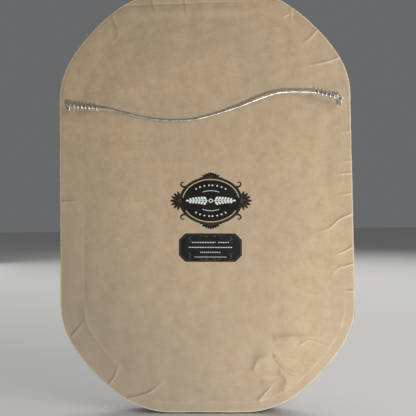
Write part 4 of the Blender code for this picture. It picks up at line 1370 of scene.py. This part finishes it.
def black_velvet():
    """Black velvet: short nap that has been brushed this way and that."""
    surface, tree, shader = new_finish("black_velvet", (0.012, 0.012, 0.014), 0.95, Sheen_Weight=0.35,
                                       Sheen_Roughness=0.4, Specular_IOR_Level=0.2)
    where = place_on(tree)
    nap = noise(tree, where, 2600, 3.0, 0.7)
    brushed = noise(tree, place_on(tree, (16, 16, 38), (0, 0.6, 0)), 1.0, 3.0)
    base = ramp(tree, brushed, ((0.35, (0.007, 0.007, 0.008)), (0.7, (0.02, 0.02, 0.023))))
    colour_by(tree, shader, blend(tree, between(tree, nap, 0.4, 0.7, 0.0, 0.5), base, (0.035, 0.035, 0.038)))
    raise_by(tree, shader, nap, 0.15, 0.5)
    return surface


def hardboard():
    """Brown hardboard: matted fibres."""
    surface, tree, shader = new_finish("hardboard", (0.3, 0.2, 0.12), 0.85)
    mat = noise(tree, place_on(tree), 500, 6.0, 0.65)
    colour_by(tree, shader, ramp(tree, mat, ((0.3, (0.2, 0.125, 0.07)), (0.7, (0.38, 0.26, 0.16)))))
    raise_by(tree, shader, mat, 0.1, 0.5)
    return surface


# The moth, in its own millimetres: x to the side, y towards the head, z towards the glass

MOTH_HEIGHT = 18.0
MOTH_DEPTH = 15.9
# The thorax with its fur and the body's bare skin, as y, half width and half depth
THORAX = ((6.15, 2.9, 2.8), (5.2, 3.9, 3.6), (3.2, 4.6, 4.2), (0.4, 4.8, 4.4), (-2.8, 4.5, 4.1),
          (-6.1, 3.8, 3.5))
SKIN = (
    (9.15, 0.05, 0.05), (9.0, 0.8, 0.7), (8.5, 1.6, 1.5), (7.6, 2.05, 1.9), (6.6, 2.1, 2.0), (5.6, 2.6, 2.5),
    (4.4, 3.2, 3.0), (2.4, 3.6, 3.3), (0.0, 3.7, 3.4), (-2.8, 3.5, 3.2), (-5.2, 3.1, 2.9), (-6.4, 2.9, 2.7),
    (-8.6, 3.4, 3.1), (-12.6, 3.5, 3.2), (-16.8, 2.9, 2.6), (-20.2, 1.9, 1.8), (-22.0, 0.9, 0.85),
    (-22.5, 0.05, 0.05),
)
SKIN_ROWS = 90
SKIN_SIDES = 56
ABDOMEN_START = -6.4
ABDOMEN_RING = 2.1
RING_DEPTH = 0.03
WING_THICK = 0.22
FORE_LIFT = 0.9
HIND_LIFT = -0.6
FORE_CAMBER = (1.4, 0.1)
HIND_CAMBER = (0.0, 0.9)
BILLOW = 0.10
INNER_CURL = 0.12
ROOT_GAP = 0.3
VEIN_RISE = 0.4
VEIN_FADE = 0.6
VEIN_HALF = 0.011
FINE_VEIN = 0.6
CELL_VEIN_HALF = 0.006
COSTA_HALF = 0.02
WING_ROWS = 72
WING_COLUMNS = 150
FORE_ROOT = (4.4, -1.6)
FORE_COSTA = ((10, 9.2), (20, 18.6), (32, 27.6), (42, 32.6), (49, 34.0))
FORE_INNER = ((12, -3.0), (22, -3.6), (32, -3.5), (41.9, -2.6))
FORE_OUTER = ((52.4, 31.6), (52.2, 27.0), (48.6, 16.6), (45.9, 5.6), (44.6, -0.6))
FORE_EDGES = (FORE_COSTA, FORE_INNER, FORE_OUTER, ())
FORE_VEINS = (0.14, 0.28, 0.42, 0.55, 0.68, 0.82)
HIND_ROOT = (1.2, -5.6)
HIND_COSTA = ((9, 3.4), (18, 5.0), (28, 4.2), (36, 0.6))
HIND_INNER = ((5.6, -11.0), (7.6, -18.0), (10.4, -24.0), (13.4, -28.0))
HIND_OUTER = ((39.6, -5.2), (39.0, -12.4), (35.6, -20.6), (30.6, -27.4), (27.0, -32.0))
HIND_TAIL_BASE = ((23.6, -34.2), (18.0, -33.2))
HIND_EDGES = (HIND_COSTA, HIND_INNER, HIND_OUTER, HIND_TAIL_BASE)
HIND_VEINS = (0.15, 0.3, 0.44, 0.66, 0.82)
TAIL_SPAN = (0.55, 0.93)
MARGIN_START = 0.958
TAIL_LINE = ((21.4, -40.0), (20.6, -47.0), (21.0, -54.0), (22.6, -61.0), (25.0, -67.0), (27.4, -71.0))
TAIL_HALF_WIDTHS = (3.7, 2.7, 2.3, 2.4, 3.0, 3.1, 0.9)
TAIL_ROWS = 64
TAIL_DROP = 0.7
TAIL_TWIST = 0.5
TAIL_VEIN = 0.42
TAIL_VEIN_HALF = 0.11
TIP_START = 0.93
TIP_LENGTH = 0.07
# How a tail grows out of the margin: over what share of its length, how fast, and how unevenly
TAIL_JOIN = 0.2
JOIN_PULL = 1.85
JOIN_SLANT = 0.95
FORE_SPOT = (26.5, 15.4)
HIND_SPOT = (21.5, -9.6)
# Lines across the wings: where, half width, strength and colour
LINE_BROWN = (0.40, 0.26, 0.11)
LINE_PALE = (0.62, 0.5, 0.28)
FORE_LINES = (
    (0.245, 0.010, 0.75, LINE_BROWN),
    (0.80, 0.007, 0.85, LINE_BROWN),
    (0.832, 0.005, 0.4, LINE_PALE),
)
HIND_LINES = (
    (0.80, 0.008, 0.8, LINE_BROWN),
    (0.835, 0.006, 0.35, LINE_PALE),
)
WING_DEEP = (0.50, 0.72, 0.55)
WING_LIGHT = (0.60, 0.79, 0.60)
WING_ROOT = (0.78, 0.86, 0.78)
WING_OUTER = (0.66, 0.74, 0.40)
WING_VEIN = (0.50, 0.60, 0.33)
TAIL_YELLOW = (0.74, 0.70, 0.34)
TAIL_FLUSH = (0.62, 0.36, 0.28)
MARGIN_BROWN = (0.55, 0.36, 0.16)
COSTA_PALE = (0.80, 0.72, 0.66)
COSTA_PLUM = (0.20, 0.075, 0.085)
COSTA_GREY = (0.42, 0.36, 0.36)
POWDER_LIGHT = (0.86, 0.92, 0.82)
POWDER_DARK = (0.30, 0.42, 0.27)
# An eye spot's rings from its middle outwards, its dark crescent and its slit
EYE_RINGS = (
    (0.0, (0.50, 0.58, 0.42)),
    (0.2, (0.60, 0.64, 0.42)),
    (0.3, (0.72, 0.55, 0.20)),
    (0.5, (0.62, 0.36, 0.20)),
    (0.66, (0.50, 0.20, 0.19)),
    (0.8, (0.70, 0.46, 0.40)),
    (0.92, (0.85, 0.83, 0.70)),
    (1.0, (0.83, 0.86, 0.72)),
)
EYE_CRESCENT = (0.02, 0.01, 0.012)
EYE_SLIT = (0.12, 0.08, 0.05)
# The coats: name, stretch of the body, tufts, then their length and their lift at places along it,
# their half width and the seed of their draws
COATS = (
    ("thorax_coat", (-7.0, 6.4), 19000, ((-7, 0, 6), (2.6, 2.7, 1.6)), ((-7, 6), (0.3, 0.45)), 0.062, 11),
    ("abdomen_coat", (-22.4, -6.0), 17000, ((-22, -6), (1.0, 1.6)), ((-22, -6), (0.2, 0.26)), 0.058, 12),
    ("head_coat", (6.2, 9.1), 6000, ((6, 9), (1.3, 0.8)), ((6, 9), (0.5, 0.6)), 0.05, 13),
)
TUFT_SPREAD = 0.25
TUFT_BEND = 0.45
TUFT_SUNK = 0.12
TUFT_FACES = ((0, 1, 4, 3), (1, 2, 5, 4), (2, 0, 3, 5), (3, 4, 6), (4, 5, 6), (5, 3, 6))
TUFT_UV = (
    (-0.0012, -0.0012), (0.0012, -0.0012), (0, -0.0012), (-0.0012, 0.0), (0.0012, 0.0), (0, 0.0), (0, 0.0014),
)
EYE_PLACE = (2.35, 8.0, 0.1)
EYE_HALVES = (1.25, 1.18, 1.15)
FEELER_ROOT = (2.15, 9.65, 0.7)
FEELER_LENGTH = 11.5
FEELER_STEPS = 24
FEELER_HEADING = 52.0
FEELER_BENDS = (-0.9, 1.0)
FEELER_BRANCHES = 27
SHAFT_POINTS = 40
SHAFT_RADIUS = 0.26
SHAFT_TAPER = 0.17
# Where along the feeler its branches start, over how much of it they stand, and how their reach swells
BRANCH_START = 0.03
BRANCH_STRETCH = 0.93
BRANCH_SWELL = (0.16, 0.8)
BRANCH_RADII = (0.1, 0.045)
BRANCH_REACH = 2.1
BRANCH_RISE = 0.06
BRANCH_SLANT = 52.0
# A branch's three stretches: share of its length, and its slant from the shaft in degrees
BRANCH_BENDS = ((0.34, BRANCH_SLANT + 12), (0.33, BRANCH_SLANT), (0.33, BRANCH_SLANT - 16))
LEGS = {
    "foreleg": (
        (1.9, 4.6, -4.0), (4.3, 6.9, -4.5), (4.0, 10.2, -4.6), (4.8, 12.8, -4.7), (5.6, 14.4, -4.7),
    ),
    "midleg": (
        (2.3, 0.6, -4.75), (6.4, 2.2, -4.9), (9.6, -2.0, -5.0), (12.4, -5.8, -5.1), (13.8, -8.0, -5.1),
    ),
    "hindleg": (
        (2.2, -3.6, -4.45), (6.0, -6.0, -4.8), (7.6, -11.0, -4.9), (8.6, -15.6, -5.0), (9.0, -18.0, -5.0),
    ),
}
LEG_RADII = (0.6, 0.55, 0.4, 0.3, 0.2)
LEG_POINTS = 60
LEG_SWELL = 0.06
LEG_WAVES = 60
# The spurs stand at these joints: how far on, how far aside, and from what radius to what
SPUR_JOINTS = (2, 3, 4)
SPUR_AHEAD = 0.9
SPUR_ASIDE = 0.45
SPUR_RADII = (0.13, 0.03)
# The pin, as depth behind the paper and radius
PIN_STATIONS = (
    (25.2, 0.02), (25.14, 0.3), (24.95, 0.58), (24.6, 0.78), (24.25, 0.72), (24.05, 0.5), (23.98, 0.3),
    (20.0, 0.3), (12.0, 0.3), (7.8, 0.3), (6.9, 0.16), (6.3, 0.02),
)
PIN_POINTS = 90


def on_moth(points):
    """The moth's own places as x, y, z of the case."""
    points = np.array(points, float)
    return np.stack([points[..., 0], -(MOTH_DEPTH + points[..., 2]), MOTH_HEIGHT + points[..., 1]], axis=-1)


def thorax_side(y, lift):
    """How far from the middle a wing's root stands at y, beside the thorax."""
    rings = smooth(THORAX, 240)
    nearest = rings[np.argmin(np.abs(rings[:, 0:1] - np.ravel(y)[None]), axis=0)]
    return nearest[:, 1] * np.sqrt(1 - (abs(lift) / nearest[:, 2]) ** 2) + ROOT_GAP


def ridge_at(v, u, veins):
    """How high the veins stand across a wing: main veins from the root, finer ones from half way."""
    high = np.zeros(np.broadcast(v, u).shape)
    for vein in veins:
        high = np.maximum(high, bell(v - vein, VEIN_HALF))
    for first, second in zip((0.0, *veins), (*veins, 1.0)):
        fork = first + (second - first) * (0.5 + 0.5 * np.clip((0.62 - u) / 0.22, 0, 1))
        high = np.maximum(high, FINE_VEIN * bell(v - fork, 0.7 * VEIN_HALF) * (u > 0.4))
    cell = bell(u - 0.5, CELL_VEIN_HALF) * (v > veins[0]) * (v < veins[2])
    return np.maximum(high, FINE_VEIN * cell)


def wing_grid(root, lift, camber, edges, veins):
    """A wing's places, how far out from its root each lies, and how high its veins stand there."""
    costa_points, inner_points, outer_points, tail_base = edges
    rise, droop = camber
    top_y, low_y = root
    v = np.linspace(0, 1, WING_COLUMNS + 1)[None, :]
    u = np.linspace(0, 1, WING_ROWS + 1)[:, None]
    edge_y = (top_y + (low_y - top_y) * v)[0]
    root_line = np.stack([thorax_side(edge_y, lift), edge_y], axis=1)
    costa = smooth([root_line[0], *costa_points], WING_ROWS + 1)
    inner = smooth([root_line[-1], *inner_points], WING_ROWS + 1)
    margin = smooth([costa_points[-1], *outer_points, *tail_base, inner_points[-1]], WING_COLUMNS + 1)
    corners = ((1 - u) * (1 - v))[..., None] * root_line[0] + (u * (1 - v))[..., None] * costa[-1]
    corners = corners + ((1 - u) * v)[..., None] * root_line[-1] + (u * v)[..., None] * inner[-1]
    flat = ((1 - v)[..., None] * costa[:, None, :] + v[..., None] * inner[:, None, :]
            + (1 - u)[..., None] * root_line[None] + u[..., None] * margin[None] - corners)
    ridge = ridge_at(v, u, veins)
    height = VEIN_RISE * np.maximum(0.8 * ridge, bell(v, COSTA_HALF)) * (1 - VEIN_FADE * u)
    height = height + rise * u ** 2 * (1 - v) - droop * u * v
    height = height + BILLOW * np.sin(9 * v + 4 * u) * np.sin(3 * u) + INNER_CURL * bell(1 - v, 0.05)
    return np.concatenate([flat, (lift + height)[..., None]], axis=2), u, ridge


def tail_grid(base):
    """The places of a hindwing's tail from its base in the margin to its rounded tip."""
    middle = (base[0] + base[-1]) / 2
    line = smooth([middle[:2], *TAIL_LINE], TAIL_ROWS + 1)
    widths = smooth([(w, 0) for w in TAIL_HALF_WIDTHS], TAIL_ROWS + 1)[:, 0]
    ahead = unit(np.gradient(line, axis=0))
    across = np.stack([-ahead[:, 1], ahead[:, 0]], axis=1)
    share = np.linspace(1, -1, len(base))[None, :]
    t = np.linspace(0, 1, TAIL_ROWS + 1)[:, None]
    tip = np.sqrt(np.clip(1 - ((t - TIP_START) / TIP_LENGTH).clip(0, 1) ** 2, 0.0, 1))
    flat = line[:, None, :] + across[:, None, :] * (share * widths[:, None] * tip)[..., None]
    taper = np.clip(t / TAIL_JOIN, 0, 1)
    start = taper ** 2 * (3 - 2 * taper) + taper * (1 - taper) ** 2 * (JOIN_PULL + JOIN_SLANT * share)
    start = start[..., None]
    flat = flat * start + (base[None, :, :2] + (line - line[0])[:, None, :]) * (1 - start)
    sides = np.maximum(bell(share - TAIL_VEIN, TAIL_VEIN_HALF), bell(share + TAIL_VEIN, TAIL_VEIN_HALF))
    ridge = np.maximum(sides, 0.9 * bell(share, 0.1)) * (1 - t)
    twist = TAIL_TWIST * share * np.sin(2.6 * t) * t
    height = base[None, :, 2] * (1 - t) + (base[:, 2].mean() - TAIL_DROP) * t + 0.25 * ridge + twist
    return np.concatenate([flat, height[..., None]], axis=2), t + 1, ridge


def sheet_of(name, places, u, ridge, columns, margin=0.0):
    """One thin sheet of wing, with its place on the wing kept on the mesh."""
    return woven(name, on_moth(places), out=u, vein=ridge, across=columns, margin=margin)


def make_wing(name, root, lift, camber, edges, veins, surface):
    """A right wing and its mirror image: a thin membrane with veins, scaled all over. A wing whose
    edges have a tail's base gets its tail."""
    places, u, ridge = wing_grid(root, lift, camber, edges, veins)
    v = np.linspace(0, 1, WING_COLUMNS + 1)[None, :]
    margin = np.clip((u - MARGIN_START) / (1 - MARGIN_START), 0, 1)
    tail_base = edges[-1]
    if tail_base:
        margin = margin * eased(np.abs(v - 0.5 * sum(TAIL_SPAN)), 0.17, 0.2)
    right = sheet_of(name, places, u, ridge, v, margin)
    if tail_base:
        low, high = (round(share * WING_COLUMNS) for share in TAIL_SPAN)
        columns = np.linspace(-1, 1, high - low + 1)[None, :]
        right = joined(name, [right, sheet_of(name, *tail_grid(places[-1, low:high + 1]), columns)])
    thickened(right, (0, -1, 0), WING_THICK, 0.0)
    dressed_pair(right, name, surface, "mint_wing")


def eye_spot(tree, base, spot, size, slant):
    """A round eye on a wing: a pale ring, a dark crescent towards the body, gold and a clear middle."""
    place = axes_of(tree)
    out = minus(tree, working(tree, "ABSOLUTE", place["X"]), spot[0] * MM)
    up = minus(tree, place["Z"], (MOTH_HEIGHT + spot[1]) * MM)
    c, s = math.cos(slant), math.sin(slant)
    long = working(tree, "MULTIPLY_ADD", out, c, product(tree, up, s))
    short = working(tree, "MULTIPLY_ADD", out, -s, product(tree, up, c))
    squares = [working(tree, "POWER", working(tree, "DIVIDE", way, half * MM), 2.0)
               for way, half in ((long, size[0]), (short, size[1]))]
    wave = product(tree, noise(tree, place_on(tree), 900, 3.0), 0.14)
    far = plus(tree, working(tree, "SQRT", plus(tree, *squares)), minus(tree, wave, 0.07))
    dark = product(tree, between(tree, far, 0.62, 0.7), between(tree, far, 0.93, 0.86))
    inner = between(tree, plus(tree, long, product(tree, short, -0.4)), 0.0002, -0.0009)
    slit = between(tree, working(tree, "ABSOLUTE", short), 0.00022, 0.0001)
    rings = over(
        tree, ramp(tree, far, EYE_RINGS),
        (product(tree, dark, inner), EYE_CRESCENT),
        (product(tree, slit, between(tree, far, 0.34, 0.26)), EYE_SLIT),
    )
    return blend(tree, between(tree, far, 1.04, 0.97), base, rings)


def line_across(tree, value, at, half, soft=0.5):
    """A line where a value passes a place, with a half width."""
    off = working(tree, "ABSOLUTE", minus(tree, value, at))
    return between(tree, off, half, half * soft)


def wing_scales(name, spot, spot_size, slant, costal, lines):
    """Powdery wing scales: the ground colour, veins, wavy lines, edges and an eye. The forewing has a
    dark costa."""
    surface, tree, shader = new_finish(name, (0.62, 0.8, 0.62), 0.75, Sheen_Weight=0.25, Sheen_Roughness=0.5,
                                       Specular_IOR_Level=0.25)
    out, across, vein, margin = (tag_of(tree, tag) for tag in ("out", "across", "vein", "margin"))
    where = place_on(tree)
    powder = noise(tree, where, 1800, 4.0, 0.7)
    cloud = noise(tree, where, 90, 4.0)
    base = ramp(tree, cloud, ((0.3, WING_DEEP), (0.7, WING_LIGHT)))
    base = over(
        tree, base,
        (between(tree, out, 0.3, 0.02), WING_ROOT),
        (between(tree, out, 0.72, 1.0, 0.0, 0.55), WING_OUTER),
        (product(tree, vein, 0.6), WING_VEIN),
    )
    wave = product(tree, working(tree, "SINE", product(tree, across, 44.0)), 0.006)
    drift = product(tree, minus(tree, cloud, 0.5), 0.03)
    waved = plus(tree, plus(tree, out, wave), drift)
    for at, half, strength, colour in lines:
        base = blend(tree, product(tree, line_across(tree, waved, at, half), strength), base, colour)
    flush = product(tree, line_across(tree, across, 0.0, 0.55, 0.1), between(tree, out, 1.2, 1.5, 0.0, 0.75))
    tail_only = between(tree, out, 1.0, 1.02)
    base = over(
        tree, base,
        (between(tree, out, 1.05, 1.6), TAIL_YELLOW),
        (product(tree, flush, tail_only), TAIL_FLUSH),
        (between(tree, margin, 0.47, 0.81, 0.0, 0.8), MARGIN_BROWN),
    )
    base = eye_spot(tree, base, spot, spot_size, slant)
    if costal:
        edge = plus(tree, across, product(tree, powder, 0.02))
        base = over(
            tree, base,
            (between(tree, edge, 0.062, 0.05), COSTA_PALE),
            (between(tree, edge, 0.05, 0.038), COSTA_PLUM),
            (between(tree, edge, 0.024, 0.012), COSTA_GREY),
        )
    base = over(
        tree, base,
        (between(tree, powder, 0.4, 0.7, 0.0, 0.28), POWDER_LIGHT),
        (between(tree, powder, 0.42, 0.25, 0.0, 0.22), POWDER_DARK),
    )
    colour_by(tree, shader, base)
    raise_by(tree, shader, powder, 0.05, 0.5)
    return surface


def wool(name):
    """White woolly scales, a little cloudy, with a yellowish belly and a plum collar."""
    surface, tree, shader = new_finish(name, (0.85, 0.84, 0.78), 0.9, Sheen_Weight=0.4, Sheen_Roughness=0.5)
    height = minus(tree, axes_of(tree)["Z"], MOTH_HEIGHT * MM)
    cloud = noise(tree, place_on(tree), 700, 4.0)
    height = plus(tree, height, product(tree, minus(tree, cloud, 0.5), 0.0012))
    belly = between(tree, height, -0.0066, -0.0085)
    collar = product(tree, between(tree, height, 0.0040, 0.0048), between(tree, height, 0.0068, 0.0060))
    base = ramp(tree, cloud, ((0.3, (0.80, 0.79, 0.71)), (0.6, (0.90, 0.90, 0.85)),
                              (0.8, (0.95, 0.95, 0.92))))
    base = over(
        tree, base,
        (product(tree, belly, 0.35), (0.72, 0.70, 0.50)),
        (product(tree, collar, 0.92), (0.24, 0.085, 0.10)),
    )
    colour_by(tree, shader, base)
    raise_by(tree, shader, cloud, 0.06, 0.4)
    return surface


def skin_at(y):
    """The skin's half width and half depth at places along the body."""
    line = smooth(SKIN, 600)[::-1]
    return np.interp(y, line[:, 0], line[:, 1]), np.interp(y, line[:, 0], line[:, 2])


def make_skin(surface):
    """The body's one skin, from the brow to the tail end, with the abdomen's rings."""
    line = smooth(SKIN, SKIN_ROWS)
    turn = np.linspace(0, FULL_TURN, SKIN_SIDES + 1)
    wave = np.sin(line[:, 0] * FULL_TURN / ABDOMEN_RING)
    rings = 1 - RING_DEPTH * np.clip(wave, 0, 1) ** 4 * (line[:, 0] < ABDOMEN_START)
    places = np.stack([line[:, 1:2] * rings[:, None] * np.cos(turn)[None],
                       np.repeat(line[:, 0:1], SKIN_SIDES + 1, axis=1),
                       line[:, 2:3] * rings[:, None] * np.sin(turn)[None]], axis=2)
    skin = woven("body_skin", on_moth(places), closed=True)
    return dressed(skin, surface, "white_wool", "moth_head", "moth_thorax", "moth_abdomen", angle=60)


def tuft_corners(draw, span, count, length, lift, width):
    """The corners of each tuft of a length of fur, seven a tuft, and where its root stands: how far
    round the body and how far along it."""
    y = draw.uniform(*span, count * 2)
    wide, deep = skin_at(y)
    keep = draw.uniform(0, 1, count * 2) < (wide + deep) / 2 / np.max((wide + deep) / 2)
    y, wide, deep = (values[keep][:count] for values in (y, wide, deep))
    count = len(y)
    turn = draw.uniform(0, FULL_TURN, count)
    root = np.stack([wide * np.cos(turn), y, deep * np.sin(turn)], axis=1)
    slope = (skin_at(y + 0.2)[0] - skin_at(y - 0.2)[0]) / 0.4
    along = -slope / np.maximum(wide, 0.3)
    normal = unit(np.stack([np.cos(turn) / wide, along, np.sin(turn) / deep], axis=1))
    back = unit(np.array((0.0, -1.0, 0.0)) - normal * (-normal[:, 1:2]))
    jitter = draw.normal(0, TUFT_SPREAD, (count, 3))
    reach = np.interp(y, *length) * draw.uniform(0.7, 1.25, count)
    rise = np.interp(y, *lift)[:, None]
    first = unit(normal * rise + back * (1 - rise) + jitter)
    second = unit(normal * rise * TUFT_BEND + back * (1 - TUFT_BEND * rise) + jitter)
    side = unit(np.cross(first, normal))
    up = np.cross(side, first)
    middle = root + first * (reach * 0.5)[:, None]
    tip = middle + second * (reach * 0.5)[:, None]
    half = width * draw.uniform(0.7, 1.3, count)[:, None]
    corners = []
    for centre, size in ((root - normal * TUFT_SUNK, 0.8), (middle, 1.0)):
        for side_share, up_share in ((1.0, 0.0), (-1.0, 0.0), (0.0, 0.8)):
            corners.append(centre + (side * side_share + up * up_share) * half * size)
    return np.stack(corners + [tip], axis=1), turn, y


def make_coat(name, span, count, length, lift, width, seed, surface):
    """Fur over a length of the body: thin tapered tufts that lie backwards, each three-sided."""
    verts, turn, y = tuft_corners(np.random.default_rng(seed), span, count, length, lift, width)
    faces = [tuple(7 * k + corner for corner in face) for k in range(len(y)) for face in TUFT_FACES]
    mesh = bpy.data.meshes.new(name)
    mesh.from_pydata((on_moth(verts.reshape(-1, 3)) * MM).tolist(), [], faces)
    spots = np.stack([turn / FULL_TURN, (y + 23.5) / 34.0], axis=1)
    flat = (spots[:, None, :] + np.array(TUFT_UV)[None]).reshape(-1, 2)
    corner_verts = np.zeros(len(mesh.loops), np.int32)
    mesh.loops.foreach_get("vertex_index", corner_verts)
    mesh.uv_layers.new(name="OFBake").data.foreach_set("uv", flat[corner_verts].astype(np.float32).ravel())
    return dressed(placed(name, mesh), surface, "white_wool", angle=70)


def feeler_line():
    """The feeler's bent shaft: its points from root to tip, and the heading in degrees at each."""
    heading = FEELER_HEADING
    place = np.array(FEELER_ROOT)
    line, headings = [place.copy()], [heading]
    for k in range(FEELER_STEPS):
        heading += FEELER_BENDS[0] if k < FEELER_STEPS / 2 else FEELER_BENDS[1]
        place = place + np.array((*towards(math.radians(heading)), 0)) * FEELER_LENGTH / FEELER_STEPS
        line.append(place.copy())
        headings.append(heading)
    return np.array(line), headings


def make_feelers(surface):
    """The feathered feelers: a bent shaft with a comb of fine branches along each edge."""
    line, headings = feeler_line()
    radii = SHAFT_RADIUS - SHAFT_TAPER * np.linspace(0, 1, SHAFT_POINTS)
    strands = [rod_along("feeler_shaft", on_moth(spaced(line, SHAFT_POINTS)), radii, 8)]
    stations = np.linspace(0, 1, FEELER_STEPS + 1)
    for k in range(FEELER_BRANCHES):
        t = BRANCH_START + BRANCH_STRETCH * k / (FEELER_BRANCHES - 1)
        root = np.array([np.interp(t, stations, line[:, axis]) for axis in range(3)])
        facing = np.interp(t, stations, headings)
        reach = BRANCH_REACH * math.sin(math.pi * (BRANCH_SWELL[0] + BRANCH_SWELL[1] * t)) ** 0.8
        for edge in (-1, 1):
            bend = [root]
            for part, slant in BRANCH_BENDS:
                angle = math.radians(facing + edge * slant)
                step = np.array((*towards(angle), BRANCH_RISE * (1 - k % 2)))
                bend.append(bend[-1] + step * reach * part)
            radii = np.linspace(*BRANCH_RADII, 7)
            strands.append(rod_along("feeler_branch", on_moth(smooth(bend, 7)), radii, 4))
    dressed_pair(joined("feeler_right", strands), "feeler", surface, "feeler_tan")


def make_legs(surface):
    """The legs: thigh, shin and foot in downy scales, with small spurs."""
    for name, joints in LEGS.items():
        radii = np.interp(np.linspace(0, 4, LEG_POINTS), range(5), LEG_RADII)
        radii = radii * (1 + LEG_SWELL * np.sin(np.linspace(0, LEG_WAVES, LEG_POINTS)))
        strands = [rod_along(name, on_moth(smooth(joints, LEG_POINTS)), radii, 12)]
        for k in SPUR_JOINTS:
            foot = np.array(joints[k])
            ahead = unit(foot - np.array(joints[k - 1]))
            for side in (-1, 1):
                aside = side * SPUR_ASIDE * np.array((-ahead[1], ahead[0], 0))
                spur = foot + ahead * SPUR_AHEAD + aside
                line = smooth([foot, (foot + spur) / 2, spur], 6)
                strands.append(rod_along(name + "_spur", on_moth(line), np.linspace(*SPUR_RADII, 6), 6))
        dressed_pair(joined(name + "_right", strands), name, surface, "leg_pink")


def make_eyes(surface):
    """The round faceted eyes at the sides of the head."""
    stations = np.linspace(0, math.pi, 25)[:, None]
    turn = np.linspace(0, FULL_TURN, 41)[None]
    wide, deep, high = EYE_HALVES
    ball = np.stack([wide * np.cos(stations) * np.ones((1, 41)), deep * np.sin(stations) * np.cos(turn),
                     high * np.sin(stations) * np.sin(turn)], axis=2)
    right = woven("eye_right", on_moth(ball + EYE_PLACE), closed=True)
    dressed_pair(right, "eye", surface, "dark_eye", angle=40)


def make_pin(surface):
    """The pin through the thorax, with its round head."""
    line = smooth(PIN_STATIONS, PIN_POINTS)
    path = np.stack([np.zeros(PIN_POINTS), -line[:, 0], np.full(PIN_POINTS, MOTH_HEIGHT)], axis=1)
    pin = rod_along("pin", path, np.maximum(line[:, 1], 0.01), 24)
    return dressed(pin, surface, "pin_enamel", "specimen_pin", angle=50)


def plain_scaled(name, colour, pale, roughness, scale, depth, **sockets):
    """A small part's finish: one colour broken by a paler one, with fine relief."""
    surface, tree, shader = new_finish(name, colour, roughness, **sockets)
    fine = noise(tree, place_on(tree), scale, 4.0, 0.65)
    colour_by(tree, shader, ramp(tree, fine, ((0.35, colour), (0.7, pale))))
    raise_by(tree, shader, fine, depth, 0.5)
    return surface


def faceted_eye():
    """A dark glossy eye of many small facets."""
    surface, tree, shader = new_finish("dark_eye", (0.02, 0.015, 0.012), 0.18, Coat_Weight=0.5)
    facets = add(tree, "TexVoronoi", {"Vector": place_on(tree), "Scale": 9000.0}).outputs["Distance"]
    colour_by(tree, shader, ramp(tree, facets, ((0.1, (0.035, 0.022, 0.014)), (0.6, (0.01, 0.008, 0.007)))))
    raise_by(tree, shader, facets, -0.03, 0.5)
    return surface


def make_moth():
    """The moth with its pin."""
    fore = wing_scales("forewing_scales", FORE_SPOT, (3.1, 2.6), math.radians(-30), True, FORE_LINES)
    hind = wing_scales("hindwing_scales", HIND_SPOT, (3.1, 2.8), math.radians(-10), False, HIND_LINES)
    make_wing("forewing", FORE_ROOT, FORE_LIFT, FORE_CAMBER, FORE_EDGES, FORE_VEINS, fore)
    make_wing("hindwing", HIND_ROOT, HIND_LIFT, HIND_CAMBER, HIND_EDGES, HIND_VEINS, hind)
    white = wool("white_wool")
    make_skin(white)
    for coat in COATS:
        make_coat(*coat, white)
    make_feelers(plain_scaled("feeler_tan", (0.46, 0.30, 0.12), (0.66, 0.47, 0.22), 0.7, 1600, 0.03))
    make_legs(plain_scaled("leg_pink", (0.38, 0.17, 0.16), (0.72, 0.56, 0.5), 0.8, 1500, 0.06,
                           Sheen_Weight=0.3))
    make_eyes(faceted_eye())
    make_pin(plain_scaled("pin_enamel", (0.02, 0.02, 0.02), (0.035, 0.034, 0.033), 0.25, 800, 0.01))


make_camera()
make_studio()

bright_wire = steel("bright_wire", (0.74, 0.745, 0.74), 0.34)
wire, wire_line = make_wire(bright_wire)
wraps = [
    make_wrap("wrap_right", EYE_RIGHT, WRAP_RIGHT, 6.6, (-1.6, 0.6, -2.4), bright_wire, "wire_wrap_right"),
    make_wrap("wrap_left", EYE_LEFT, WRAP_LEFT, 5.2, (0.3, 1.0, 2.3), bright_wire, "wire_wrap_left"),
]
make_screw_eye("eye_screw_right", EYE_RIGHT, math.radians(16), "screw_eye_right",
               steel("screw_plate_right", (0.74, 0.73, 0.70), 0.3))
make_screw_eye("eye_screw_left", EYE_LEFT, 0.0, "screw_eye_left",
               steel("screw_plate_left", (0.74, 0.73, 0.70), 0.3))

make_paper()
sticker_stock = label_stock("sticker_stock", (0.010, 0.009, 0.008), (0.04, 0.035, 0.03), 0.5)
card_stock = label_stock("card_stock", (0.008, 0.009, 0.010), (0.05, 0.05, 0.05), 0.55)
tan_ink = ink("tan_ink", (0.56, 0.43, 0.26), (0.2, 0.15, 0.09))
faint_ink = ink("faint_ink", (0.12, 0.095, 0.065), (0.03, 0.026, 0.02))
pale_ink = ink("pale_ink", (0.72, 0.77, 0.76), (0.3, 0.33, 0.33))
make_sticker(sticker_stock, tan_ink, pale_ink)
make_card(card_stock, faint_ink, pale_ink)

make_moulding()
make_slip()
make_glass()
painted(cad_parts["mount_board"], black_velvet())
painted(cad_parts["backing_board"], hardboard())
make_moth()
